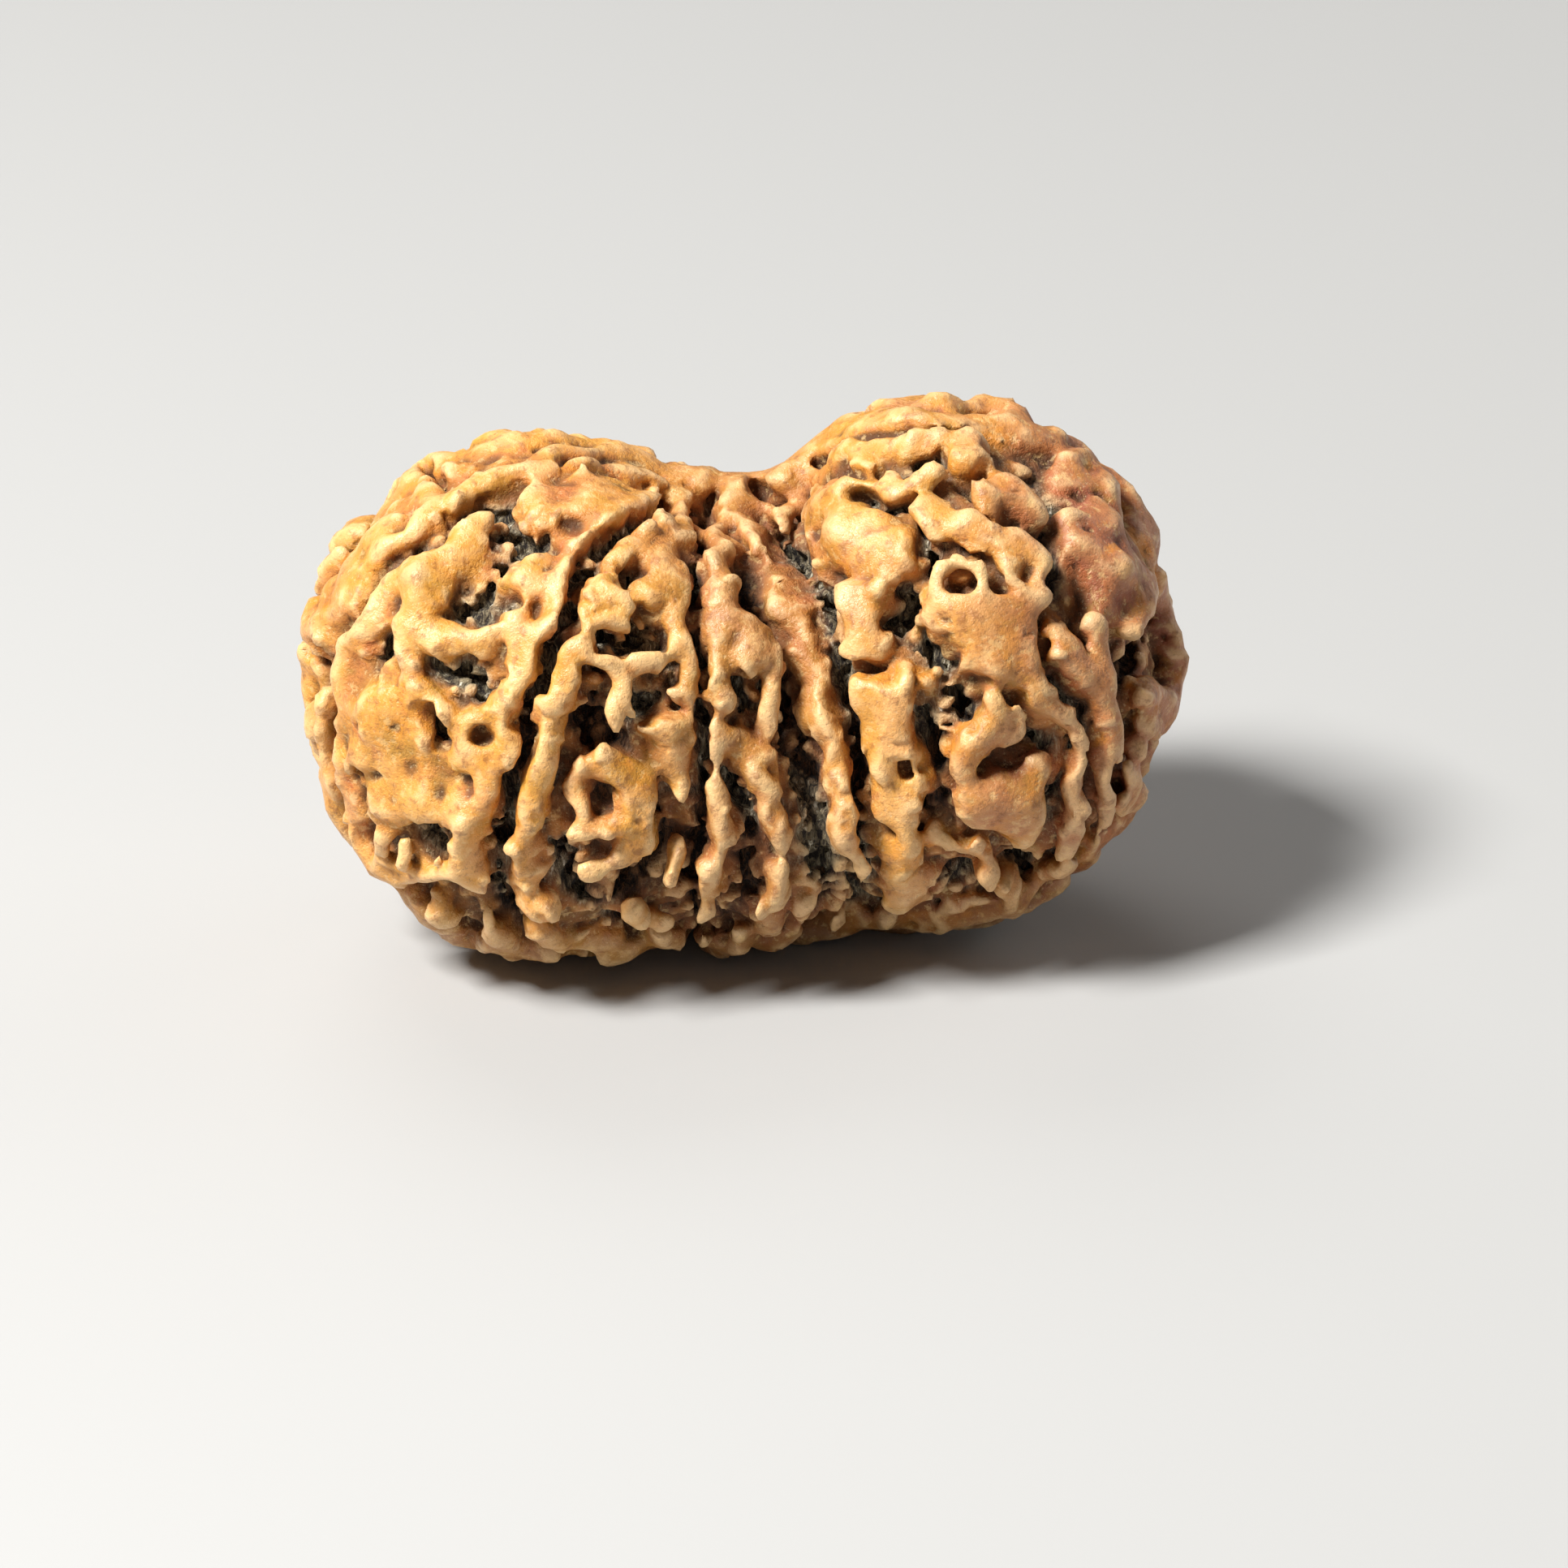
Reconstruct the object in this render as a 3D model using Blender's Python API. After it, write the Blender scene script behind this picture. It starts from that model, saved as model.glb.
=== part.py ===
"""Gauri shankar rudraksha: two woody seed stones that grew together as one bead.

The bead is one solid. It is worked out as a distance field on a grid of points, the way a
sculptor builds up and cuts into clay: a smooth two-lobed body, clefts and hollows cut into it,
ridges, knobs and net raised from it. Then a mesh is laid over the field's surface.
All lengths in the field are millimetres, +X along the two lobes, -Y the front, +Z up.
"""
import bmesh
import bpy
import numpy as np

# Overall form, in millimetres
LEFT_CENTRE = (-7.1, 0.0, 9.85)
LEFT_RADII = (8.2, 8.1, 8.8)
RIGHT_CENTRE = (7.9, 0.0, 10.6)
RIGHT_RADII = (7.7, 8.0, 9.3)
LEFT_FULLNESS = 2.2
RIGHT_FULLNESS = 1.92
LEFT_LEAN = -0.55
WAIST_CENTRE = (-1.1, 0.0, 9.2)
WAIST_RADII = (3.4, 7.6, 7.9)
WAIST_FOOT_CENTRE = (1.4, 0.0, 7.3)
WAIST_FOOT_RADII = (6.4, 7.8, 6.0)
WAIST_BLEND = 1.8
UNEVEN = ((3.1, 0.20), (1.3, 0.12))
STRAY = 0.9
POLE_X = -1.2
UPPER_POLE_Z = 17.3
LOWER_POLE_Z = 0.4
POLE_DENT = 1.6
MIDDLE = (POLE_X, 0.0, 9.2)

# Grid and mesh
STEP = 0.3
GRID_LOW = (-19.0, -11.5, -1.5)
GRID_HIGH = (19.0, 11.5, 22.5)
TRIANGLES = 11800
SOFTENING = 2
FOOT_CUT = 0.0
CENTRE_SHIFT = (0.2, -0.17)
SEED = 108

# Where the front's features lie. Their places are read from a picture of the bead taken from
# the front and a little above, in its pixels, and carried onto the body along lines of sight.
VIEW_ELEVATION = 26.0
VIEW_AZIMUTH = -6.0
VIEW_DISTANCE = 300.0
PICTURE_MIDDLE = 966.0
PICTURE_SCALE = 9600.0
VIEW_RIGHT_SHIFT = 1.69
VIEW_UP_SHIFT = 5.25

# Clefts: width, depth, path. Each runs from the upper pole down over the front.
CLEFTS = {
    "left end cleft": (1.2, 1.1, [
        (640, 608), (585, 632), (560, 655), (535, 672), (510, 692), (480, 712), (466, 740), (450, 765),
        (430, 795), (418, 815)]),
    "left front cleft": (1.05, 1.5, [
        (815, 617), (790, 640), (770, 655), (745, 675), (725, 690), (712, 710), (700, 740), (690, 760),
        (675, 790), (668, 820), (655, 870), (645, 910), (632, 950), (622, 1000), (618, 1060),
        (615, 1120)]),
    "waist cleft": (0.7, 1.3, [
        (862, 660), (861, 700), (862, 760), (866, 820), (868, 900), (864, 980), (856, 1060),
        (850, 1165)]),
    "waist valley": (1.3, 1.4, [
        (950, 775), (960, 820), (976, 880), (992, 940), (1006, 1000),
        (1012, 1070), (1005, 1150)]),
    "right front cleft": (1.0, 1.5, [
        (950, 640), (965, 665), (978, 700), (1000, 735), (1015, 780), (1033, 840), (1045, 880),
        (1053, 950), (1058, 1010), (1062, 1100), (1058, 1150)]),
    "right end cleft": (0.9, 1.5, [
        (1240, 582), (1278, 600), (1290, 640), (1300, 690), (1300, 730), (1285, 765), (1282, 820),
        (1300, 860), (1325, 890), (1332, 940), (1335, 1000), (1325, 1050)]),
}

# Hollows between the raised parts: width, depth, path
HOLLOWS = {
    "top left corner": (0.8, 0.9, [(525, 583), (545, 600), (560, 610)]),
    "left brown hollow": (1.1, 1.2, [(622, 655), (640, 672), (625, 700), (602, 705)]),
    "left brown hollow, tail": (0.8, 0.8, [(640, 680), (672, 668)]),
    "pit over the bar": (0.8, 1.0, [(560, 750), (578, 750)]),
    "crumbly patch": (0.9, 0.4, [(600, 738), (625, 745)]),
    "left grey hollow": (1.2, 1.2, [(475, 800), (468, 828)]),
    "left grey hollow, right": (0.8, 1.0, [(484, 795), (492, 825)]),
    "second grey hollow": (1.1, 1.2, [(535, 815), (565, 825), (595, 835)]),
    "second grey hollow, foot": (0.7, 1.0, [(600, 850), (603, 866)]),
    "left end notch": (1.5, 1.2, [(400, 812), (412, 816)]),
    "brown recess": (1.3, 0.5, [(540, 885), (545, 915)]),
    "shelf gap": (0.5, 0.8, [(505, 1014), (560, 1012)]),
    "left low hollow": (0.8, 0.8, [(515, 1030), (532, 1036)]),
    "left foot gap": (0.6, 0.9, [(505, 1086), (568, 1088)]),
    "triangle hollow": (0.8, 1.3, [(775, 765), (800, 785), (770, 790), (735, 792)]),
    "orange plate recess": (0.7, 0.6, [(765, 712), (785, 708)]),
    "net hollow": (1.3, 1.3, [(782, 852), (802, 862)]),
    "net hollow, left": (0.8, 1.2, [(772, 838), (785, 875)]),
    "dark cavern": (1.0, 1.3, [(725, 890), (735, 925), (765, 915)]),
    "dark cavern, left": (0.7, 1.1, [(715, 820), (722, 870), (712, 900)]),
    "cavern under the net": (0.9, 1.2, [(800, 985), (812, 1020), (795, 1075), (760, 1100)]),
    "low left cavern": (0.9, 1.1, [(690, 1045), (700, 1085), (735, 1120)]),
    "bottom cavern": (0.8, 1.0, [(750, 1135), (780, 1150)]),
    "waist recess": (1.0, 0.7, [(918, 700), (925, 750)]),
    "waist cave": (0.7, 1.1, [(912, 845), (925, 868)]),
    "waist low cave": (0.8, 1.2, [(912, 945), (918, 985), (910, 1040)]),
    "waist foot cave": (0.8, 1.0, [(912, 1080), (925, 1115)]),
    "pole pit": (1.0, 1.0, [(862, 640), (878, 645)]),
    "block recess": (0.6, 0.6, [(930, 614), (975, 612)]),
    "shoulder cave": (1.1, 1.3, [(1108, 732), (1128, 752), (1100, 765)]),
    "shoulder cave, upper": (0.9, 1.1, [(1145, 668), (1160, 695), (1195, 708)]),
    "heart cave": (1.3, 1.4, [(1145, 880), (1155, 930)]),
    "fibrous cave": (1.1, 1.3, [(1180, 845), (1192, 885)]),
    "crumb cave": (1.0, 0.9, [(1140, 790), (1165, 815)]),
    "under the chain": (0.9, 1.1, [(1145, 985), (1125, 1012)]),
    "sail hollow": (1.0, 0.7, [(1150, 1085), (1190, 1095)]),
    "top dark slit": (0.5, 0.8, [(1066, 620), (1095, 632), (1130, 624)]),
    "top grey hollow": (0.7, 0.8, [(1090, 586), (1120, 576), (1155, 566)]),
    "corner caves": (0.9, 1.1, [(1238, 578), (1275, 596), (1312, 614)]),
    "corner cave, low": (0.8, 1.1, [(1240, 652), (1275, 655)]),
    "corner cave, left": (0.7, 1.0, [(1212, 588), (1196, 604)]),
    "right grey patch": (1.7, 1.3, [(1415, 765), (1412, 800), (1396, 835)]),
    "inside the loop": (1.0, 1.2, [(1262, 900), (1285, 925)]),
    "inside the loop, low": (0.7, 1.0, [(1298, 965), (1292, 990)]),
    "bowl": (1.3, 1.1, [(1262, 1070), (1265, 1088)]),
}

# Raised parts: width, rise over the body, path
RIDGES = {
    "left shoulder plate": (2.6, 0.9, [(508, 575), (560, 568), (620, 560)]),
    "left end plate": (2.8, 1.1, [(524, 572), (507, 600), (478, 645), (450, 680), (436, 718), (412, 750)]),
    "left end knob": (2.2, 1.5, [(402, 768), (408, 786)]),
    "left rear ridge": (1.1, 1.2, [(500, 566), (535, 552), (575, 547), (615, 540), (645, 551)]),
    "left rear ridge, inner": (1.0, 1.1, [(555, 572), (600, 566), (650, 560), (690, 548)]),
    "left end cleft, outer rim": (0.8, 1.1, [
        (575, 622), (545, 628), (525, 650), (505, 672), (470, 690), (446, 712), (440, 740), (420, 768)]),
    "left end strut": (0.7, 1.0, [(525, 608), (530, 640)]),
    "left end cleft, inner rim": (1.0, 1.2, [
        (605, 640), (580, 660), (570, 690), (545, 700), (510, 708), (485, 728), (470, 752), (455, 778),
        (440, 802), (428, 830), (425, 850)]),
    "round boss": (2.0, 1.6, [(525, 735)]),
    "top sheet": (2.2, 0.7, [(600, 588), (680, 576), (780, 578)]),
    "lens ridge": (1.1, 1.1, [(580, 615), (610, 601), (640, 601), (652, 610)]),
    "top ridge far": (1.1, 1.2, [(660, 560), (715, 549), (745, 550), (795, 562), (830, 574)]),
    "top ridge middle": (1.0, 1.1, [(668, 578), (720, 569), (770, 568), (812, 588)]),
    "top ridge near": (0.9, 1.1, [(655, 592), (700, 594), (760, 586), (805, 604)]),
    "orange plate": (2.9, 1.2, [(700, 634), (735, 628), (775, 618)]),
    "orange plate, left": (2.0, 1.1, [(672, 625), (690, 650)]),
    "left cleft, left rim": (1.15, 1.3, [
        (812, 617), (790, 633), (765, 648), (722, 678), (703, 705), (693, 730), (680, 760), (663, 790),
        (653, 820), (643, 850), (633, 880), (618, 905), (610, 940), (598, 975), (578, 1000),
        (575, 1030), (580, 1060), (590, 1085)]),
    "left wall": (1.6, 1.1, [(660, 700), (650, 730), (640, 770), (628, 800)]),
    "left wall, low": (1.1, 1.1, [(605, 880), (585, 905), (580, 940), (592, 960)]),
    "left cleft, right rim": (1.2, 1.3, [
        (707, 795), (702, 830), (690, 855), (672, 880), (662, 905), (665, 950), (655, 975), (640, 1000),
        (632, 1025), (636, 1050), (648, 1085)]),
    "left cleft, right rim knob": (1.5, 1.5, [(664, 948)]),
    "right rim foot": (1.2, 1.3, [(645, 1105), (672, 1108)]),
    "left foot knobs": (0.8, 1.2, [(603, 1105), (610, 1138), (632, 1158)]),
    "left foot knobs, inner": (0.9, 1.2, [(655, 1130), (680, 1148)]),
    "second knob ridge": (0.9, 1.2, [(412, 822), (415, 845), (396, 870), (388, 885), (402, 905)]),
    "hollow strut": (0.9, 1.1, [(500, 778), (508, 810), (512, 838)]),
    "bar": (0.9, 1.2, [(510, 770), (545, 793), (600, 792), (630, 782)]),
    "yellow boss": (3.8, 1.3, [(465, 888), (500, 900)]),
    "yellow boss, upper": (1.5, 1.2, [(470, 868), (520, 872), (546, 880)]),
    "yellow boss, low": (2.6, 1.1, [(450, 935), (500, 940)]),
    "rough plate": (2.9, 0.9, [(520, 965), (575, 960)]),
    "rough plate, low": (1.4, 1.0, [(470, 985), (520, 990), (570, 985)]),
    "left low rim": (0.8, 1.1, [(422, 885), (414, 920), (420, 960), (430, 1000)]),
    "left low struts": (0.5, 1.1, [(476, 1020), (478, 1060)]),
    "left low struts, second": (0.5, 1.1, [(501, 1020), (503, 1058)]),
    "grey knob": (0.8, 1.1, [(538, 1040)]),
    "lower band": (0.9, 1.1, [(440, 1035), (455, 1058), (490, 1070), (555, 1064)]),
    "lower band, far": (0.8, 1.1, [(470, 1080), (490, 1093), (515, 1106)]),
    "left foot boss": (1.3, 1.3, [(545, 1112)]),
    "triangle boss": (1.3, 1.6, [(738, 735), (730, 758), (760, 758), (738, 735)]),
    "orange waist plate": (1.2, 1.1, [(832, 638), (795, 660), (762, 688), (755, 712)]),
    "waist plate": (1.1, 1.1, [(838, 660), (812, 690), (790, 730)]),
    "pale triangle": (1.2, 1.2, [(798, 730), (832, 716), (832, 770)]),
    "net, upper arm": (0.9, 1.3, [(768, 812), (800, 800), (833, 788)]),
    "net, right arm": (0.8, 1.3, [(838, 795), (850, 830), (855, 870), (846, 902)]),
    "net, inner arm": (0.7, 1.2, [(800, 805), (812, 838), (846, 850)]),
    "net, low band": (0.9, 1.3, [(775, 872), (795, 888), (838, 882)]),
    "net, low lobe": (1.3, 1.4, [(800, 905), (828, 930), (832, 952)]),
    "net, left strand": (0.6, 1.2, [(735, 812), (758, 830), (746, 868), (750, 905)]),
    "inner ridge": (0.9, 1.1, [(735, 935), (725, 968), (720, 998)]),
    "inner ridge, foot": (0.8, 1.1, [(703, 1020), (738, 1010), (762, 1006)]),
    "pale knob": (0.9, 1.3, [(765, 943)]),
    "pink boss": (1.9, 1.4, [(772, 975), (785, 1010)]),
    "hook": (1.0, 1.5, [(795, 1025), (765, 1045), (722, 1062)]),
    "stalked knob": (0.7, 1.3, [(815, 1038), (826, 1066)]),
    "smile": (0.6, 1.1, [(772, 1103), (785, 1122), (805, 1128), (822, 1116)]),
    "foot knob": (1.0, 1.2, [(802, 1142), (815, 1166)]),
    "foot plate": (1.5, 1.2, [(728, 1160), (765, 1172)]),
    "left of pole": (1.2, 1.1, [(828, 592), (836, 630), (846, 668)]),
    "saddle ridge": (1.0, 1.2, [(842, 572), (862, 604), (888, 600), (905, 582)]),
    "thin wall": (0.35, 0.9, [(859, 700), (860, 760), (862, 800)]),
    "waist ridge": (0.95, 1.2, [(905, 620), (890, 660), (885, 700), (885, 760), (890, 795)]),
    "waist ridge, knob": (0.8, 1.2, [(885, 822), (893, 862)]),
    "waist ridge, low": (0.9, 1.2, [(882, 885), (890, 940), (884, 985), (878, 1020), (870, 1060), (868, 1110)]),
    "waist ridge, foot": (0.7, 1.1, [(866, 1140), (868, 1165)]),
    "waist knob": (1.5, 1.4, [(920, 785), (922, 815)]),
    "waist strand": (0.6, 1.2, [(945, 792), (948, 830), (944, 880), (950, 908)]),
    "waist web": (0.9, 1.0, [(885, 905), (920, 915), (952, 925)]),
    "waist column": (1.0, 1.3, [(942, 930), (936, 960), (945, 985), (940, 1008), (950, 1032)]),
    "waist column, knobs": (0.7, 1.2, [(951, 1060), (952, 1098)]),
    "waist column, foot": (0.6, 1.1, [(905, 1088), (930, 1110), (957, 1145)]),
    "waist column, foot two": (0.6, 1.1, [(905, 1132), (938, 1163)]),
    "fork": (0.8, 1.1, [(905, 620), (922, 660), (935, 692)]),
    "strap": (1.35, 1.4, [(942, 642), (953, 680), (964, 735), (978, 780), (990, 815)]),
    "strap, low": (1.15, 1.5, [
        (982, 795), (993, 822), (1003, 850), (1015, 890), (1022, 920), (1030, 955), (1036, 985), (1039, 1030)]),
    "strap, foot": (0.5, 1.1, [(1036, 1045), (1047, 1072), (1046, 1100)]),
    "cleft strand": (0.35, 0.0, [(1020, 775), (1037, 815), (1048, 858)]),
    "valley foot": (0.8, 0.9, [(985, 1120), (1028, 1138)]),
    "pole block": (2.2, 1.4, [(940, 562), (970, 560)]),
    "pole block, far": (2.2, 1.7, [(928, 546), (978, 534)]),
    "pole block, foot": (1.1, 1.1, [(925, 600), (975, 596)]),
    "right rear ridge": (1.2, 1.3, [(985, 528), (1020, 512), (1045, 500), (1070, 490), (1112, 492), (1150, 505)]),
    "right rear net": (0.6, 1.1, [(1045, 508), (1068, 520), (1118, 520), (1150, 512)]),
    "right rear strut": (0.5, 1.1, [(1093, 494), (1095, 518)]),
    "right rear fill": (1.6, 1.1, [(1250, 532), (1285, 546)]),
    "right top ridge": (1.1, 1.3, [(1000, 545), (1040, 532), (1080, 519), (1160, 512), (1205, 503), (1250, 520)]),
    "right top band": (2.0, 1.2, [(1000, 570), (1050, 556), (1110, 546), (1200, 545)]),
    "right lens ridge": (1.1, 1.2, [(1000, 600), (1040, 590), (1080, 601), (1115, 612), (1160, 602)]),
    "shield": (3.0, 1.4, [(1020, 645), (1045, 660), (1085, 680)]),
    "shield, tip": (1.8, 1.3, [(1095, 672), (1118, 676)]),
    "shield, top": (1.3, 1.2, [(1000, 620), (1030, 620), (1075, 640)]),
    "under the shield": (0.8, 1.2, [(1045, 722), (1080, 724), (1106, 714)]),
    "chain one": (1.9, 1.5, [(1052, 745), (1066, 775), (1064, 805)]),
    "chain two": (2.1, 1.6, [(1078, 845), (1090, 880), (1096, 920), (1094, 965)]),
    "chain two, side": (1.3, 1.3, [(1120, 905), (1130, 940), (1122, 975)]),
    "chain neck": (1.0, 1.5, [(1096, 985), (1098, 1020), (1099, 1060)]),
    "chain three": (1.3, 1.4, [(1100, 1060), (1099, 1100)]),
    "chain foot": (0.9, 1.3, [(1087, 1122), (1090, 1155)]),
    "sail": (1.3, 1.0, [(1125, 1070), (1140, 1078), (1118, 1105)]),
    "pocket rim": (0.55, 0.8, [(1120, 1002), (1140, 1022), (1172, 1036), (1200, 1040)]),
    "cave strand": (0.6, 1.0, [(1125, 830), (1112, 850), (1118, 872)]),
    "finger": (0.8, 1.3, [(1136, 634), (1160, 646), (1190, 661), (1212, 667)]),
    "grey ring": (0.75, 1.4, [
        (1175, 697), (1196, 708), (1200, 728), (1183, 745), (1160, 742), (1150, 722), (1158, 702), (1175, 697)]),
    "corner knob": (1.1, 1.3, [(1190, 571), (1222, 569)]),
    "corner boss": (1.7, 1.5, [(1245, 605), (1250, 628)]),
    "corner boss, left": (1.0, 1.3, [(1205, 622), (1225, 632)]),
    "small plate": (1.5, 1.3, [(1250, 680), (1262, 705)]),
    "small plate, rim": (0.7, 1.3, [(1223, 682), (1236, 712), (1256, 736), (1276, 750)]),
    "great boss": (3.0, 1.9, [(1200, 775), (1235, 800)]),
    "great boss, upper": (1.5, 1.7, [(1178, 752), (1215, 758)]),
    "great boss, tip": (1.3, 1.7, [(1262, 812)]),
    "cap plate": (2.8, 1.3, [(1345, 640), (1352, 680), (1362, 715)]),
    "cap plate, left": (1.8, 1.2, [(1315, 640), (1330, 690)]),
    "cap plate, low": (2.0, 1.1, [(1380, 690), (1385, 740)]),
    "outer rim": (1.0, 1.3, [
        (1300, 568), (1340, 583), (1370, 612), (1392, 652), (1402, 692), (1396, 732), (1380, 768)]),
    "outer knob": (1.0, 1.2, [(1300, 552)]),
    "fork ridge": (1.0, 1.3, [(1296, 796), (1320, 820), (1342, 850), (1348, 900), (1342, 955)]),
    "fork ridge, right arm": (1.0, 1.4, [(1341, 772), (1350, 800), (1351, 845)]),
    "grey patch rim": (1.1, 1.4, [
        (1412, 712), (1438, 748), (1455, 780), (1466, 818), (1456, 850), (1425, 868), (1395, 862)]),
    "grey patch rim, low": (1.2, 1.3, [(1452, 868), (1425, 890), (1400, 890)]),
    "loop, right": (0.95, 1.3, [
        (1266, 852), (1282, 872), (1302, 897), (1322, 935), (1325, 980), (1315, 1005), (1302, 1040)]),
    "loop, hook": (1.3, 1.5, [(1212, 875), (1216, 892), (1202, 915), (1190, 940)]),
    "loop, inner rim": (0.6, 1.2, [(1242, 872), (1251, 890), (1238, 928)]),
    "lower boss": (2.2, 1.6, [(1218, 975), (1245, 985)]),
    "lower boss, left": (1.2, 1.4, [(1195, 965), (1198, 995)]),
    "lower boss, right": (1.2, 1.4, [(1262, 950), (1268, 985), (1260, 1015)]),
    "stem": (0.8, 1.2, [(1202, 1022), (1213, 1050), (1214, 1075)]),
    "bowl rim": (0.8, 1.4, [
        (1233, 1078), (1238, 1100), (1248, 1116), (1265, 1122), (1285, 1113), (1300, 1090), (1303, 1052)]),
    "end worm one": (0.6, 1.2, [(1375, 945), (1386, 962), (1396, 982)]),
    "end worm two": (0.6, 1.2, [(1355, 905), (1366, 932)]),
    "end worm three": (0.6, 1.2, [(1345, 965), (1352, 998)]),
    "end worm four": (0.6, 1.2, [(1366, 972), (1384, 992), (1372, 1022)]),
    "end worm five": (0.6, 1.2, [(1340, 1012), (1338, 1056)]),
    "end block": (1.0, 1.2, [(1392, 925)]),
    "low right knobs": (0.8, 1.1, [(1160, 1118), (1200, 1112)]),
}

# Small holes and thin creases, cut last: width, depth, path
PITS = {
    "valley top": (0.45, 0.9, [(926, 660), (936, 705), (948, 765)]),
    "chain gap": (0.45, 0.9, [(1036, 824), (1062, 827), (1092, 818)]),
    "left pit": (0.5, 0.5, [(512, 628)]),
    "left pit two": (0.5, 0.4, [(495, 648)]),
    "rim pit": (0.4, 0.6, [(650, 747), (650, 757)]),
    "round pit": (1.0, 0.9, [(597, 913)]),
    "rim slit": (0.35, 0.6, [(622, 785), (618, 815)]),
    "far pits": (0.6, 0.7, [(685, 570), (708, 562)]),
    "plate hollow": (0.8, 0.6, [(700, 650)]),
    "lens slit": (0.35, 0.7, [(602, 624), (640, 622)]),
    "top crease": (0.3, 0.5, [(720, 560), (770, 559), (818, 580)]),
    "top crease two": (0.3, 0.5, [(682, 585), (760, 577), (805, 596)]),
    "net eye": (0.6, 0.9, [(823, 822)]),
    "boss eye": (0.75, 1.0, [(750, 978), (750, 992)]),
    "column eye": (0.4, 0.6, [(955, 948)]),
    "low eye": (0.8, 0.8, [(755, 1110)]),
    "strap notch": (0.4, 0.6, [(1000, 872)]),
    "rear eye": (0.8, 0.9, [(1066, 508), (1076, 508)]),
    "rear eye two": (0.6, 0.8, [(1112, 508), (1124, 508)]),
    "right crease": (0.3, 0.5, [(1000, 560), (1050, 544), (1110, 531), (1235, 533)]),
    "right crease two": (0.25, 0.4, [(1000, 581), (1080, 590)]),
    "band pits": (0.4, 0.5, [(1012, 572), (1032, 572)]),
    "slit pit": (0.45, 0.7, [(1220, 550), (1238, 550)]),
    "ring eye": (0.8, 1.1, [(1175, 722)]),
    "plate pit": (0.5, 0.6, [(1260, 705)]),
    "chain pit": (0.35, 0.5, [(1118, 932), (1118, 950)]),
    "pocket pit": (0.5, 0.7, [(1148, 992)]),
    "boss crease": (0.4, 0.6, [(1210, 955), (1245, 935)]),
    "rim crease": (0.3, 0.5, [(1300, 585), (1345, 597), (1385, 650)]),
    "boss pits": (0.4, 0.4, [(435, 955)]),
    "boss pits two": (0.4, 0.4, [(462, 957)]),
    "rough pits": (0.45, 0.4, [(540, 977)]),
    "rough pits two": (0.4, 0.4, [(575, 965)]),
}

# The low pads that the flat spot is cut from: width, rise, and (x, y) ends in millimetres
RESTING_PADS = {
    "left lobe": (3.8, 1.6, [(-7.4, 0.4), (-3.6, -0.6)]),
    "right lobe": (3.4, 1.9, [(4.4, -0.6), (7.2, 0.4)]),
}

# The side away from the front, the ends and the underside: directions round the upright pole
# axis in degrees, 0 toward the right lobe's end and 90 straight back
REAR_CLEFTS = (-16, 8, 33, 52, 74, 92, 110, 131, 152, 173, 193)
UNDER_CLEFTS = (-150, -121, -97, -72, -50)
HALF_RISE = 0.5
REOPENING = 0.65
RIM_OFFSET = 0.85
RIM_WIDTH = 1.1
RIM_RISE = 1.2
WORM_SPACING = 2.0
WORM_TRIES = 9000


def unit(vector):
    return vector / np.linalg.norm(vector, axis=-1, keepdims=True)


def smooth_least(a, b, blend):
    """The lesser of two distances, rounded where they meet."""
    mix = np.clip(0.5 + 0.5 * (b - a) / blend, 0.0, 1.0)
    return b + (a - b) * mix - blend * mix * (1.0 - mix)


def rounded(points, centre, radii, fullness=2.0, lean=0.0):
    """Distance from an egg shape. A fullness of 2 is an ellipsoid, and more is squarer.

    Its top leans this far along +X.
    """
    offset = (points - np.asarray(centre)) / np.asarray(radii)
    offset[..., 0] -= lean / radii[0] * offset[..., 2]
    offset = np.abs(offset)
    near = (offset ** fullness).sum(axis=-1) ** (1.0 / fullness)
    share = offset / np.maximum(near, 1e-6)[..., None]
    steep = np.linalg.norm(share ** (fullness - 1.0) / np.asarray(radii), axis=-1)
    return (near - 1.0) / np.maximum(steep, 1e-6)


def body(points):
    """Distance from the smooth body: two lobes, the waist between them, a dent at each pole."""
    whole = smooth_least(rounded(points, LEFT_CENTRE, LEFT_RADII, LEFT_FULLNESS, LEFT_LEAN),
                         rounded(points, RIGHT_CENTRE, RIGHT_RADII, RIGHT_FULLNESS), WAIST_BLEND)
    for centre, radii in ((WAIST_CENTRE, WAIST_RADII), (WAIST_FOOT_CENTRE, WAIST_FOOT_RADII)):
        whole = smooth_least(whole, rounded(points, centre, radii), WAIST_BLEND)
    for pole_z, sign in ((UPPER_POLE_Z, 1.0), (LOWER_POLE_Z, -1.0)):
        dent = np.linalg.norm(points - np.array((POLE_X, 0.0, pole_z + sign * POLE_DENT)), axis=-1)
        whole = -smooth_least(-whole, dent - 2.0 * POLE_DENT, 1.5)
    return whole


def outward(points):
    """The body's outward direction at each point."""
    slope = []
    for axis in np.eye(3) * 0.05:
        slope.append(body(points + axis) - body(points - axis))
    return unit(np.stack(slope, axis=-1))


def lay_on(points, level):
    """Moves points along the outward direction onto the layer at this height over the body."""
    for _ in range(4):
        points = points - outward(points) * (body(points) - level)[..., None]
    return points


def view_axes():
    up_angle = np.radians(VIEW_ELEVATION)
    turn = np.radians(VIEW_AZIMUTH)
    ahead = np.array((-np.sin(turn) * np.cos(up_angle), np.cos(turn) * np.cos(up_angle), -np.sin(up_angle)))
    right = np.array((np.cos(turn), np.sin(turn), 0.0))
    up = np.cross(right, ahead)
    middle = right * VIEW_RIGHT_SHIFT + up * VIEW_UP_SHIFT
    return right, up, ahead, middle - ahead * VIEW_DISTANCE


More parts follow.
